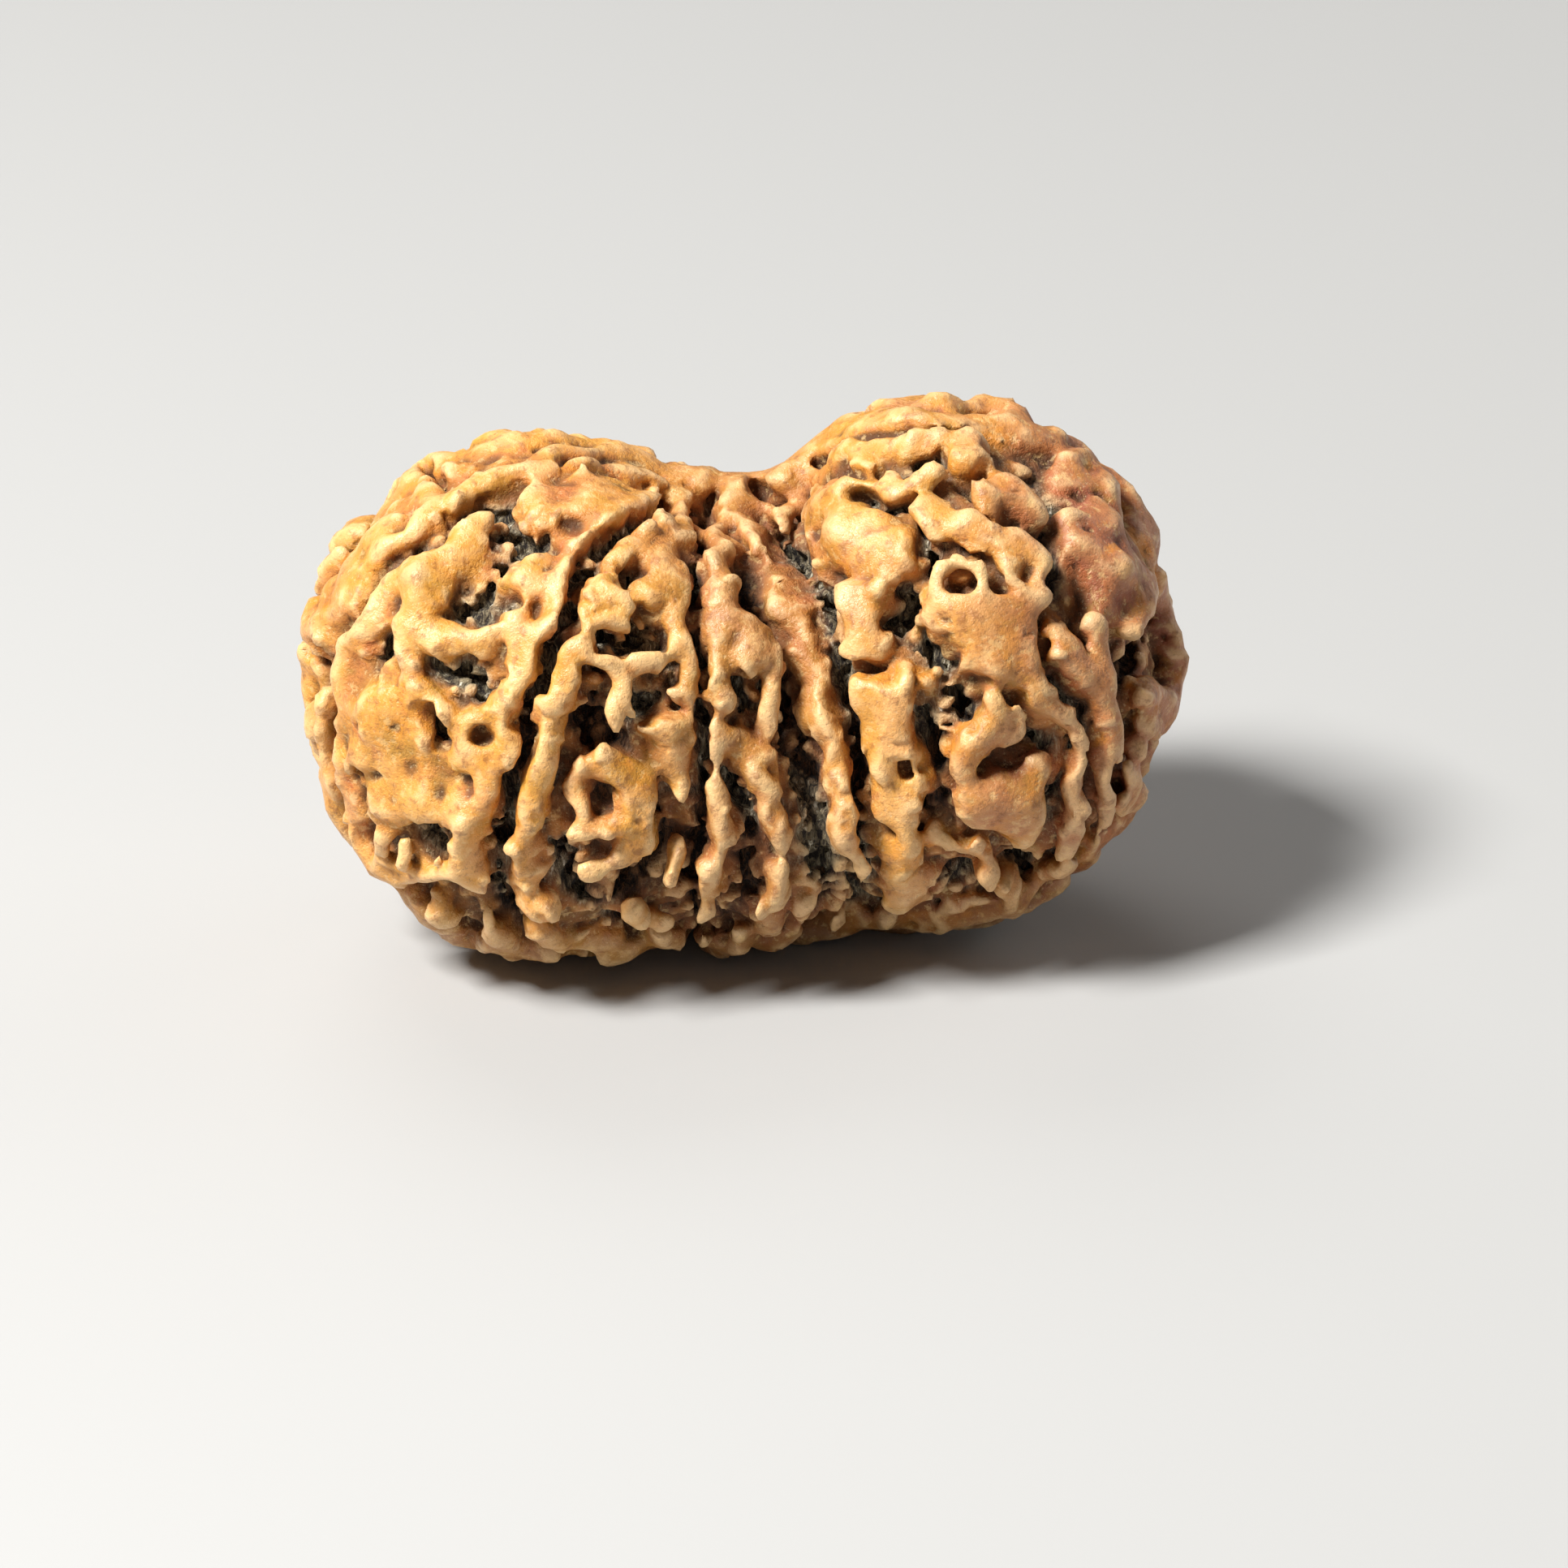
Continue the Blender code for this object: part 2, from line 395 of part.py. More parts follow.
def from_view(places, level):
    """Carries picture places onto the body's layer at this height, along the lines of sight."""
    right, up, ahead, eye = view_axes()
    places = np.asarray(places, float)
    across = (places[:, 0] - PICTURE_MIDDLE) / PICTURE_SCALE
    down = (places[:, 1] - PICTURE_MIDDLE) / PICTURE_SCALE
    sight = unit(ahead + across[:, None] * right - down[:, None] * up)
    reach = np.linspace(VIEW_DISTANCE - 22.0, VIEW_DISTANCE + 14.0, 181)
    along = eye + sight[:, None, :] * reach[None, :, None]
    height = body(along) - level
    hit = height < 0.0
    first = np.where(hit.any(axis=1), hit.argmax(axis=1), height.argmin(axis=1))
    return lay_on(along[np.arange(len(places)), first], level)


def from_pole(direction, angles, level):
    """Points on the body along one meridian; angles run from the upper pole, in degrees."""
    turn = np.radians(direction)
    tilt = np.radians(np.asarray(angles, float))
    ray = np.stack((np.cos(turn) * np.sin(tilt), np.sin(turn) * np.sin(tilt), np.cos(tilt)), axis=-1)
    low = np.zeros(len(tilt))
    high = np.full(len(tilt), 24.0)
    for _ in range(24):
        half = 0.5 * (low + high)
        inside = body(np.array(MIDDLE) + ray * half[:, None]) < level
        low = np.where(inside, half, low)
        high = np.where(inside, high, half)
    return np.array(MIDDLE) + ray * low[:, None]


def seen(points):
    """How squarely the body faces the front view at each point."""
    ahead = view_axes()[2]
    return -(outward(points) * ahead).sum(axis=-1)


def spaced(path, gap):
    """The same path with points no further apart than gap."""
    pieces = []
    for start, end in zip(path[:-1], path[1:]):
        count = max(1, int(np.ceil(np.linalg.norm(end - start) / gap)))
        pieces.append(start + (end - start) * (np.arange(count) / count)[:, None])
    return np.concatenate(pieces + [path[-1:]])


def cloud(lines, spacing, chance):
    """Smooth random heights over the grid, with hills this far apart."""
    size = [int((high - low) / spacing) + 3 for low, high in zip(GRID_LOW, GRID_HIGH)]
    heights = chance.standard_normal(size)
    for axis, line in enumerate(lines):
        place = (line - GRID_LOW[axis]) / spacing
        first = place.astype(int)
        share = place - first
        share = share * share * (3.0 - 2.0 * share)
        blend = np.zeros((len(line), size[axis]))
        blend[np.arange(len(line)), first] = 1.0 - share
        blend[np.arange(len(line)), first + 1] += share
        heights = np.moveaxis(np.tensordot(blend, heights, (1, axis)), 0, axis)
    return heights.astype(np.float32)


class Clay:
    """A block of space sampled on a grid. Below zero is inside the bead."""

    def __init__(self, chance):
        lines = [np.arange(low, high, STEP, dtype=np.float32) for low, high in zip(GRID_LOW, GRID_HIGH)]
        self.low = np.array(GRID_LOW)
        self.points = np.stack(np.meshgrid(*lines, indexing="ij"), axis=-1)
        self.height = self.points[..., 2].copy()
        for spacing, shift in UNEVEN:
            for axis in range(3):
                self.points[..., axis] += shift * cloud(lines, spacing, chance)
        self.value = body(self.points).astype(np.float32)
        self.scratch = np.full(self.value.shape, 9.0, dtype=np.float32)

    def window(self, least, most):
        start = np.maximum(((least - self.low) / STEP).astype(int), 0)
        end = np.minimum(((most - self.low) / STEP).astype(int) + 2, self.value.shape)
        return tuple(slice(a, b) for a, b in zip(start, end))

    def work(self, path, radii, blend, cut):
        """Raises or cuts one rounded stroke along a path."""
        reach = blend + 2.0 * STEP
        if len(path) == 1:
            path = np.concatenate((path, path + 1e-3))
            radii = np.concatenate((radii, radii))
        for start, end, start_radius, end_radius in zip(path[:-1], path[1:], radii[:-1], radii[1:]):
            edge = max(start_radius, end_radius) + reach + STRAY
            here = self.window(np.minimum(start, end) - edge, np.maximum(start, end) + edge)
            offset = self.points[here] - start
            line = end - start
            share = np.clip((offset @ line) / max(line @ line, 1e-9), 0.0, 1.0)
            distance = np.linalg.norm(offset - share[..., None] * line, axis=-1)
            distance = distance - start_radius - (end_radius - start_radius) * share
            self.scratch[here] = np.minimum(self.scratch[here], distance)
        edge = radii.max() + reach + STRAY
        whole = self.window(path.min(axis=0) - edge, path.max(axis=0) + edge)
        stroke = self.scratch[whole]
        if cut:
            self.value[whole] = -smooth_least(-self.value[whole], stroke, blend)
        else:
            self.value[whole] = smooth_least(self.value[whole], stroke, blend)
        self.scratch[whole] = 9.0

    def raise_ridge(self, path, width, rise, chance, blend=0.4):
        path = spaced(path, 0.7)
        beads = 1.0 + 0.13 * chance.standard_normal(len(path))
        if len(path) > 3:
            beads[0] *= 0.75
            beads[-1] *= 0.75
        radii = 0.5 * width * beads
        sink = rise - radii
        self.work(path + outward(path) * sink[:, None], radii, blend, False)

    def cut_groove(self, path, width, depth, top=0.0, blend=0.3):
        """Cuts a round-bottomed groove to this depth under the path, open up to top over it."""
        path = spaced(path, 0.7)
        away = outward(path)
        radius = 0.5 * width
        for level in np.append(np.arange(radius - depth, top, 1.3 * radius), top):
            radii = np.full(len(path), radius * (1.0 + 0.12 * max(level, 0.0)))
            self.work(path + away * level, radii, blend, True)


def front_features(clay, chance):
    undersides = []
    for width, depth, path in CLEFTS.values():
        places = lay_on(from_view(path, HALF_RISE), 0.0)
        offset = places[-1] - np.array(MIDDLE)
        direction = np.degrees(np.arctan2(offset[1], offset[0]))
        angle = np.degrees(np.arccos(offset[2] / np.linalg.norm(offset)))
        under = from_pole(direction, np.arange(angle + 5.0, 176.0, 5.0), 0.0)
        whole = np.concatenate((places, under))
        clay.cut_groove(whole, width, depth)
        for side in (-1.0, 1.0):
            add_rim(clay, under, side, chance)
        undersides.append(under)
    for width, depth, path in HOLLOWS.values():
        clay.cut_groove(lay_on(from_view(path, HALF_RISE), 0.0), width, depth)
    for width, rise, path in RIDGES.values():
        clay.raise_ridge(lay_on(from_view(path, HALF_RISE), 0.0), width, rise, chance)
    for (width, depth, path), under in zip(CLEFTS.values(), undersides):
        whole = np.concatenate((lay_on(from_view(path, HALF_RISE), 0.0), under))
        clay.cut_groove(whole, REOPENING * width, depth, RIM_RISE + 0.3)
    for width, depth, path in PITS.values():
        clay.cut_groove(from_view(path, 2.0 * HALF_RISE), width, depth)


def resting_pads(clay, chance):
    for width, rise, ends in RESTING_PADS.values():
        below = np.array([(x, y, 0.0) for x, y in ends])
        clay.raise_ridge(lay_on(below, 0.0), width, rise, chance)


def add_rim(clay, cleft, side, chance):
    """A wavy ridge beside a cleft, kept off the part of the body that the front shows."""
    if len(cleft) < 3:
        return
    away = unit(np.cross(np.gradient(cleft, axis=0), outward(cleft)))
    wave = 0.22 * np.sin(np.arange(len(cleft)) * chance.uniform(0.7, 1.3) + chance.uniform(0.0, 6.0))
    rim = lay_on(cleft + side * away * (RIM_OFFSET + wave)[:, None], 0.0)
    runs = np.split(np.arange(len(rim)), np.sort(chance.choice(np.arange(2, len(rim)), len(rim) // 7, False)))
    for run in runs:
        if len(run) > 1:
            width = RIM_WIDTH * chance.uniform(0.75, 1.2)
            clay.raise_ridge(rim[run], width, RIM_RISE * chance.uniform(0.85, 1.1), chance)


def rear_features(clay, chance):
    grooves = []
    for number, direction in enumerate(REAR_CLEFTS):
        angles = np.arange(9.0, 175.0 if number % 2 else 151.0, 4.0)
        bend = direction + 3.5 * np.sin(np.radians(angles * 2.0 + chance.uniform(0.0, 360.0)))
        line = np.concatenate([from_pole(turn, [angle], 0.0) for turn, angle in zip(bend, angles)])
        line = line[(seen(line) < 0.12) | (line[:, 2] < 3.0)]
        grooves.append(line)
    for direction in UNDER_CLEFTS:
        line = from_pole(direction, np.arange(128.0, 175.0, 4.0), 0.0)
        grooves.append(line[seen(line) < 0.1])
    grooves = [line for line in grooves if len(line) > 3]
    widths = chance.uniform(0.65, 0.95, len(grooves))
    for line, width in zip(grooves, widths):
        clay.cut_groove(line, width, 1.4 * width)
    tissue(clay, np.concatenate(grooves), chance)
    for line in grooves:
        for side in (-1.0, 1.0):
            add_rim(clay, line, side, chance)
    for line, width in zip(grooves, widths):
        clay.cut_groove(line, REOPENING * width, 1.4 * width, RIM_RISE + 0.3)


def tissue(clay, clefts, chance):
    """Knobs, short worms and hollows that fill the fields between the rear clefts."""
    places = chance.uniform(GRID_LOW, GRID_HIGH, (WORM_TRIES, 3))
    places = lay_on(places[np.abs(body(places)) < 2.5], 0.0)
    places = places[seen(places) < 0.06]
    kept = []
    for place in places:
        clear = not kept or np.linalg.norm(np.array(kept) - place, axis=1).min() > WORM_SPACING
        if clear and np.linalg.norm(clefts - place, axis=1).min() > 1.25:
            kept.append(place)
    for number, place in enumerate(kept):
        toward_pole = np.array((POLE_X, 0.0, UPPER_POLE_Z)) - place
        normal = outward(place[None])[0]
        along = unit(toward_pole - normal * (toward_pole @ normal))
        across = np.cross(normal, along)
        turn = chance.normal(0.0, 0.7)
        path = [place]
        for _ in range(chance.integers(1, 5)):
            turn += chance.normal(0.0, 0.45)
            step = (along * np.cos(turn) + across * np.sin(turn)) * 0.75
            path.append(lay_on((path[-1] + step)[None], 0.0)[0])
        path = np.array(path)
        if number % 5 == 0:
            clay.cut_groove(path[:3], chance.uniform(0.9, 1.4), chance.uniform(0.7, 1.1))
        elif number % 5 == 1:
            clay.raise_ridge(path[:2], chance.uniform(1.7, 2.5), chance.uniform(1.0, 1.4), chance)
        else:
            clay.raise_ridge(path, chance.uniform(0.8, 1.4), chance.uniform(0.8, 1.3), chance)


def soften(value):
    """Evens out detail finer than the grid, so that no thin bridge or tunnel is left."""
    for axis in range(3):
        value = 0.25 * np.roll(value, 1, axis) + 0.5 * value + 0.25 * np.roll(value, -1, axis)
    return value


def unpinch(inside):
    """Fills the few grid corners where the surface would touch itself along an edge or at a point."""
    for _ in range(30):
        found = 0
        for first, second in ((0, 1), (0, 2), (1, 2)):
            corner = []
            for a in (0, 1):
                for b in (0, 1):
                    cut = [slice(None)] * 3
                    cut[first] = slice(a, inside.shape[first] - 1 + a)
                    cut[second] = slice(b, inside.shape[second] - 1 + b)
                    corner.append(inside[tuple(cut)])
            falling = corner[0] & corner[3] & ~corner[1] & ~corner[2]
            rising = corner[1] & corner[2] & ~corner[0] & ~corner[3]
            found += int(falling.sum() + rising.sum())
            corner[1][falling] = True
            corner[0][rising] = True
        parts = {}
        for a in (0, 1):
            for b in (0, 1):
                for c in (0, 1):
                    parts[a, b, c] = inside[a:inside.shape[0] - 1 + a, b:inside.shape[1] - 1 + b,
                                            c:inside.shape[2] - 1 + c]
        total = sum(part.astype(np.int8) for part in parts.values())
        for a, b, c in ((0, 0, 0), (0, 0, 1), (0, 1, 0), (0, 1, 1)):
            one = parts[a, b, c]
            other = parts[1 - a, 1 - b, 1 - c]
            lonely = one & other & (total == 2)
            one[lonely] = False
            holed = ~one & ~other & (total == 6)
            one[holed] = True
            found += int(lonely.sum() + holed.sum())
        if not found:
            break
    return inside


def surface_of(value, low):
    """Lays a mesh of four-sided faces over the grid's zero level, one vertex to a crossed cell."""
    inside = unpinch(value < 0.0)
    value = np.where(inside, np.minimum(value, -1e-3), np.maximum(value, 1e-3))
    corners = {}
    for a in (0, 1):
        for b in (0, 1):
            for c in (0, 1):
                corners[a, b, c] = (slice(a, value.shape[0] - 1 + a), slice(b, value.shape[1] - 1 + b),
                                    slice(c, value.shape[2] - 1 + c))
    count = sum(inside[cut].astype(np.int8) for cut in corners.values())
    cells = np.argwhere((count > 0) & (count < 8))
    number = np.full(count.shape, -1, dtype=np.int64)
    number[tuple(cells.T)] = np.arange(len(cells))
    total = np.zeros((len(cells), 3))
    crossings = np.zeros(len(cells))
    for axis in range(3):
        for corner in corners:
            if corner[axis] == 1:
                continue
            start = np.array(corner)
            end = start.copy()
            end[axis] = 1
            first = value[tuple((cells + start).T)]
            second = value[tuple((cells + end).T)]
            crossed = (first < 0.0) != (second < 0.0)
            share = np.where(crossed, first / np.where(crossed, first - second, 1.0), 0.0)
            total[crossed] += (start + (end - start) * share[:, None])[crossed]
            crossings += crossed
    vertices = low + STEP * (cells + total / crossings[:, None])
    faces = []
    for axis in range(3):
        side, other = (axis + 1) % 3, (axis + 2) % 3
        here = [slice(1, size - 1) for size in value.shape]
        here[axis] = slice(0, value.shape[axis] - 1)
        ahead = list(here)
        ahead[axis] = slice(1, value.shape[axis])
        leaving = inside[tuple(here)] & ~inside[tuple(ahead)]
        entering = ~inside[tuple(here)] & inside[tuple(ahead)]
        for crossed, order in ((leaving, 1), (entering, -1)):
            edge = np.argwhere(crossed)
            edge[:, side] += 1
            edge[:, other] += 1
            ring = []
            for back_side, back_other in ((1, 1), (0, 1), (0, 0), (1, 0))[::order]:
                cell = edge.copy()
                cell[:, side] -= back_side
                cell[:, other] -= back_other
                ring.append(number[tuple(cell.T)])
            faces.append(np.stack(ring, axis=-1))
    return vertices, np.concatenate(faces)


def largest_piece(vertices, faces):
    """Drops any crumb or sealed bubble, and keeps the one outer surface."""
    label = np.arange(len(vertices))
    while True:
        least = label[faces].min(axis=1)
        fresh = label.copy()
        for column in range(4):
            np.minimum.at(fresh, faces[:, column], least)
        fresh = fresh[fresh]
        if (fresh == label).all():
            break
        label = fresh
    names, sizes = np.unique(label, return_counts=True)
    keep = label == names[sizes.argmax()]
    place = np.cumsum(keep) - 1
    return vertices[keep], place[faces[keep[faces[:, 0]]]]


def bead_mesh():
    chance = np.random.default_rng(SEED)
    clay = Clay(chance)
    rear_features(clay, chance)
    front_features(clay, chance)
    resting_pads(clay, chance)
    value = clay.value
    for _ in range(SOFTENING):
        value = soften(value)
    floor = FOOT_CUT - clay.height
    vertices, faces = largest_piece(*surface_of(np.maximum(value, floor), clay.low))
    vertices = vertices - np.array((*CENTRE_SHIFT, FOOT_CUT))
    mesh = bpy.data.meshes.new("gauri_shankar_bead")
    mesh.from_pydata((vertices * 0.001).tolist(), [], faces.tolist())
    mesh.update()
    return mesh


def wood_material():
    wood = bpy.data.materials.new("bead_wood")
    wood.use_nodes = True
    shader = wood.node_tree.nodes["Principled BSDF"]
    shader.inputs["Base Color"].default_value = (0.56, 0.30, 0.11, 1.0)
    shader.inputs["Roughness"].default_value = 0.48
    shader.inputs["Metallic"].default_value = 0.0
    return wood


def thinned(bead):
    """The same surface with fewer triangles, small where it curves and large where it is flat."""
    thinning = bead.modifiers.new("thinning", "DECIMATE")
    thinning.ratio = TRIANGLES / (2.0 * len(bead.data.polygons))
    bpy.context.view_layer.update()
    evaluated = bead.evaluated_get(bpy.context.evaluated_depsgraph_get())
    mesh = bpy.data.meshes.new_from_object(evaluated)
    bead.modifiers.remove(thinning)
    return mesh


def mend(mesh):
    """Cuts out each spot where thinning folded the surface onto itself, and closes it again."""
    work = bmesh.new()
    work.from_mesh(mesh)
    for _ in range(6):
        folded = [edge for edge in work.edges if not edge.is_manifold]
        if not folded:
            break
        corners = {corner for edge in folded for corner in edge.verts}
        bmesh.ops.delete(work, geom=list(corners), context="VERTS")
        rims = [edge for edge in work.edges if edge.is_boundary]
        bmesh.ops.holes_fill(work, edges=rims, sides=0)
        bmesh.ops.triangulate(work, faces=[face for face in work.faces if len(face.verts) > 3])
        loose = [edge for edge in work.edges if not edge.link_faces]
        bmesh.ops.delete(work, geom=loose, context="EDGES")
    for corner in work.verts:
        if abs(corner.co.z) < 0.00006:
            corner.co.z = 0.0
    bmesh.ops.recalc_face_normals(work, faces=work.faces)
    work.to_mesh(mesh)
    work.free()


def build():
    for item in list(bpy.data.objects):
        bpy.data.objects.remove(item)
    bead = bpy.data.objects.new("gauri_shankar_bead", bead_mesh())
    bpy.context.collection.objects.link(bead)
    bead.data = thinned(bead)
    mend(bead.data)
    bead.data.name = "gauri_shankar_bead"
    bead.data.materials.append(wood_material())
    bead.data.shade_smooth()


build()
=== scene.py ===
"""The gauri shankar rudraksha as it looks: the bead's fine surface, its wood, floor and light.

The bead's form is worked out as in its construction, on a finer grid: a smooth two-lobed body,
clefts and hollows cut into it, ridges, knobs and net raised from it. Fine grain, crumbs and
fibres are added here. Lengths in the field are millimetres, +X along the lobes, -Y the front.
"""

import bpy
import numpy as np
from mathutils import Matrix


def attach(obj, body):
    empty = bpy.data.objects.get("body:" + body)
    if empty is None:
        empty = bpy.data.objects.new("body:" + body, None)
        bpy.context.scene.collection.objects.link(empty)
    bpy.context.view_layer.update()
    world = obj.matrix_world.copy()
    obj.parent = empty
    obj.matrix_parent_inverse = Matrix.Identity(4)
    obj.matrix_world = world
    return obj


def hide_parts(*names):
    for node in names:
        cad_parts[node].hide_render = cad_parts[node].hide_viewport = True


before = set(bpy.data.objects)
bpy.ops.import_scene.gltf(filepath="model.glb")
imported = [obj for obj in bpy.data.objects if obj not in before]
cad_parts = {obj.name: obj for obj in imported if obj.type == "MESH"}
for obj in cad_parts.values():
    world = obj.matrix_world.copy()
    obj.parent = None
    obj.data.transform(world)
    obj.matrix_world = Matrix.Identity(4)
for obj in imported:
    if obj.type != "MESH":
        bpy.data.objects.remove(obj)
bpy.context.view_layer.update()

# Overall form, in millimetres
LEFT_CENTRE = (-7.1, 0.0, 9.85)
LEFT_RADII = (8.2, 8.1, 8.8)
RIGHT_CENTRE = (7.9, 0.0, 10.6)
RIGHT_RADII = (7.7, 8.0, 9.3)
LEFT_FULLNESS = 2.2
RIGHT_FULLNESS = 1.92
LEFT_LEAN = -0.55
WAIST_CENTRE = (-1.1, 0.0, 9.2)
WAIST_RADII = (3.4, 7.6, 7.9)
WAIST_FOOT_CENTRE = (1.4, 0.0, 7.3)
WAIST_FOOT_RADII = (6.4, 7.8, 6.0)
WAIST_BLEND = 1.8
POLE_X = -1.2
UPPER_POLE_Z = 17.3
LOWER_POLE_Z = 0.4
POLE_DENT = 1.6
POLE_BLEND = 1.5
MIDDLE = (POLE_X, 0.0, 9.2)

# How the whole form, the strokes and the surface wander: hill spacing and shift. Strokes are
# given this margin for it, and what no stroke has reached counts as this far away.
UNEVEN = ((3.1, 0.20), (1.3, 0.12))
ROUGHNESS = ((1.5, 0.12), (0.75, 0.05))
LUMPS = ((1.1, 0.08), (0.55, 0.045), (0.36, 0.02))
STRAY = 0.9
FAR = 9.0

# Grid and mesh, and the seeds of all that is drawn at random
STEP = 0.15
GRID_LOW = (-19.0, -11.5, -1.5)
GRID_HIGH = (19.0, 11.5, 22.5)
TRIANGLES = 197000
FOOT_CUT = 0.0
CENTRE_SHIFT = (0.2, -0.17)
SEED = 108
ROUGHNESS_SEED = SEED + 1
FINE_SEED = SEED + 2
SKIN_SEED = SEED + 3
MILLIMETRE = 0.001
CORNERS = [(a, b, c) for a in (0, 1) for b in (0, 1) for c in (0, 1)]

# Where the front's features lie. Their places are read from a picture of the bead taken from
# the front and a little above, in its pixels, and carried onto the body along lines of sight.
VIEW_ELEVATION = 26.0
VIEW_AZIMUTH = -6.0
VIEW_DISTANCE = 300.0
PICTURE_MIDDLE = 966.0
PICTURE_SCALE = 9600.0
VIEW_RIGHT_SHIFT = 1.69
VIEW_UP_SHIFT = 5.25

# Finding the body: how far before and beyond the middle a line of sight is searched, in how
# many steps, and how far out a meridian's ray is searched, in how many halvings
SIGHT_BEFORE = 22.0
SIGHT_BEYOND = 14.0
SIGHT_STEPS = 181
OUTSIDE = 24.0
HALVINGS = 24

# Strokes: the gap between a path's points, how much a ridge's beads differ, how its ends taper,
# how it blends into what it stands on, and how a groove blends and widens upward
PATH_GAP = 0.7
BEADING = 0.13
END_TAPER = 0.75
RIDGE_BLEND = 0.45
RIDGE_BLEND_SHARE = 0.35
GROOVE_BLEND = 0.3
GROOVE_FLARE = 0.12

# Clefts: width, depth, path. Each runs from the upper pole down over the front.
CLEFTS = {
    "left end cleft": (1.2, 1.1, (640, 608), (585, 632), (560, 655), (535, 672), (510, 692),
        (480, 712), (466, 740), (450, 765), (430, 795), (418, 815)),
    "left front cleft": (1.05, 1.5, (815, 617), (790, 640), (770, 655), (745, 675), (725, 690),
        (712, 710), (700, 740), (690, 760), (675, 790), (668, 820), (655, 870), (645, 910),
        (632, 950), (622, 1000), (618, 1060), (615, 1120)),
    "waist cleft": (0.7, 1.3, (862, 660), (861, 700), (862, 760), (866, 820), (868, 900), (864, 980),
        (856, 1060), (850, 1165)),
    "waist valley": (1.3, 1.4, (950, 775), (960, 820), (976, 880), (992, 940), (1006, 1000),
        (1012, 1070), (1005, 1150)),
    "right front cleft": (1.0, 1.5, (950, 640), (965, 665), (978, 700), (1000, 735), (1015, 780),
        (1033, 840), (1045, 880), (1053, 950), (1058, 1010), (1062, 1100), (1058, 1150)),
    "right end cleft": (0.9, 1.5, (1240, 582), (1278, 600), (1290, 640), (1300, 690), (1300, 730),
        (1285, 765), (1282, 820), (1300, 860), (1325, 890), (1332, 940), (1335, 1000), (1325, 1050)),
}

# Hollows between the raised parts: width, depth, path
HOLLOWS = {
    "top left corner": (0.8, 0.9, (525, 583), (545, 600), (560, 610)),
    "left brown hollow": (1.1, 1.2, (622, 655), (640, 672), (625, 700), (602, 705)),
    "left brown hollow, tail": (0.8, 0.8, (640, 680), (672, 668)),
    "pit over the bar": (0.8, 1.0, (560, 750), (578, 750)),
    "crumbly patch": (0.9, 0.4, (600, 738), (625, 745)),
    "left grey hollow": (1.2, 1.2, (475, 800), (468, 828)),
    "left grey hollow, right": (0.8, 1.0, (484, 795), (492, 825)),
    "second grey hollow": (1.1, 1.2, (535, 815), (565, 825), (595, 835)),
    "second grey hollow, foot": (0.7, 1.0, (600, 850), (603, 866)),
    "left end notch": (1.5, 1.2, (400, 812), (412, 816)),
    "brown recess": (1.3, 0.5, (540, 885), (545, 915)),
    "shelf gap": (0.5, 0.8, (505, 1014), (560, 1012)),
    "left low hollow": (0.8, 0.8, (515, 1030), (532, 1036)),
    "left foot gap": (0.6, 0.9, (505, 1086), (568, 1088)),
    "triangle hollow": (0.8, 1.3, (775, 765), (800, 785), (770, 790), (735, 792)),
    "orange plate recess": (0.7, 0.6, (765, 712), (785, 708)),
    "net hollow": (1.3, 1.3, (782, 852), (802, 862)),
    "net hollow, left": (0.8, 1.2, (772, 838), (785, 875)),
    "dark cavern": (1.0, 1.3, (725, 890), (735, 925), (765, 915)),
    "dark cavern, left": (0.7, 1.1, (715, 820), (722, 870), (712, 900)),
    "cavern under the net": (0.9, 1.2, (800, 985), (812, 1020), (795, 1075), (760, 1100)),
    "low left cavern": (0.9, 1.1, (690, 1045), (700, 1085), (735, 1120)),
    "bottom cavern": (0.8, 1.0, (750, 1135), (780, 1150)),
    "waist recess": (1.0, 0.7, (918, 700), (925, 750)),
    "waist cave": (0.7, 1.1, (912, 845), (925, 868)),
    "waist low cave": (0.8, 1.2, (912, 945), (918, 985), (910, 1040)),
    "waist foot cave": (0.8, 1.0, (912, 1080), (925, 1115)),
    "pole pit": (1.0, 1.0, (862, 640), (878, 645)),
    "block recess": (0.6, 0.6, (930, 614), (975, 612)),
    "shoulder cave": (1.1, 1.3, (1108, 732), (1128, 752), (1100, 765)),
    "shoulder cave, upper": (0.9, 1.1, (1132, 652), (1142, 690)),
    "heart cave": (1.3, 1.4, (1145, 880), (1155, 930)),
    "fibrous cave": (1.1, 1.3, (1180, 845), (1192, 885)),
    "crumb cave": (1.0, 0.9, (1140, 790), (1165, 815)),
    "under the chain": (0.9, 1.1, (1145, 985), (1125, 1012)),
    "sail hollow": (1.0, 0.7, (1150, 1085), (1190, 1095)),
    "top dark slit": (0.5, 0.8, (1066, 620), (1095, 632), (1130, 624)),
    "top grey hollow": (0.7, 0.8, (1090, 586), (1120, 576), (1155, 566)),
    "corner caves": (0.9, 1.1, (1238, 578), (1275, 596), (1312, 614)),
    "corner cave, low": (0.8, 1.1, (1240, 652), (1275, 655)),
    "corner cave, left": (0.7, 1.0, (1212, 588), (1196, 604)),
    "right grey patch": (1.7, 1.3, (1415, 765), (1412, 800), (1396, 835)),
    "inside the loop": (1.0, 1.2, (1262, 900), (1285, 925)),
    "inside the loop, low": (0.7, 1.0, (1298, 965), (1292, 990)),
    "bowl": (1.3, 1.1, (1262, 1070), (1265, 1088)),
}

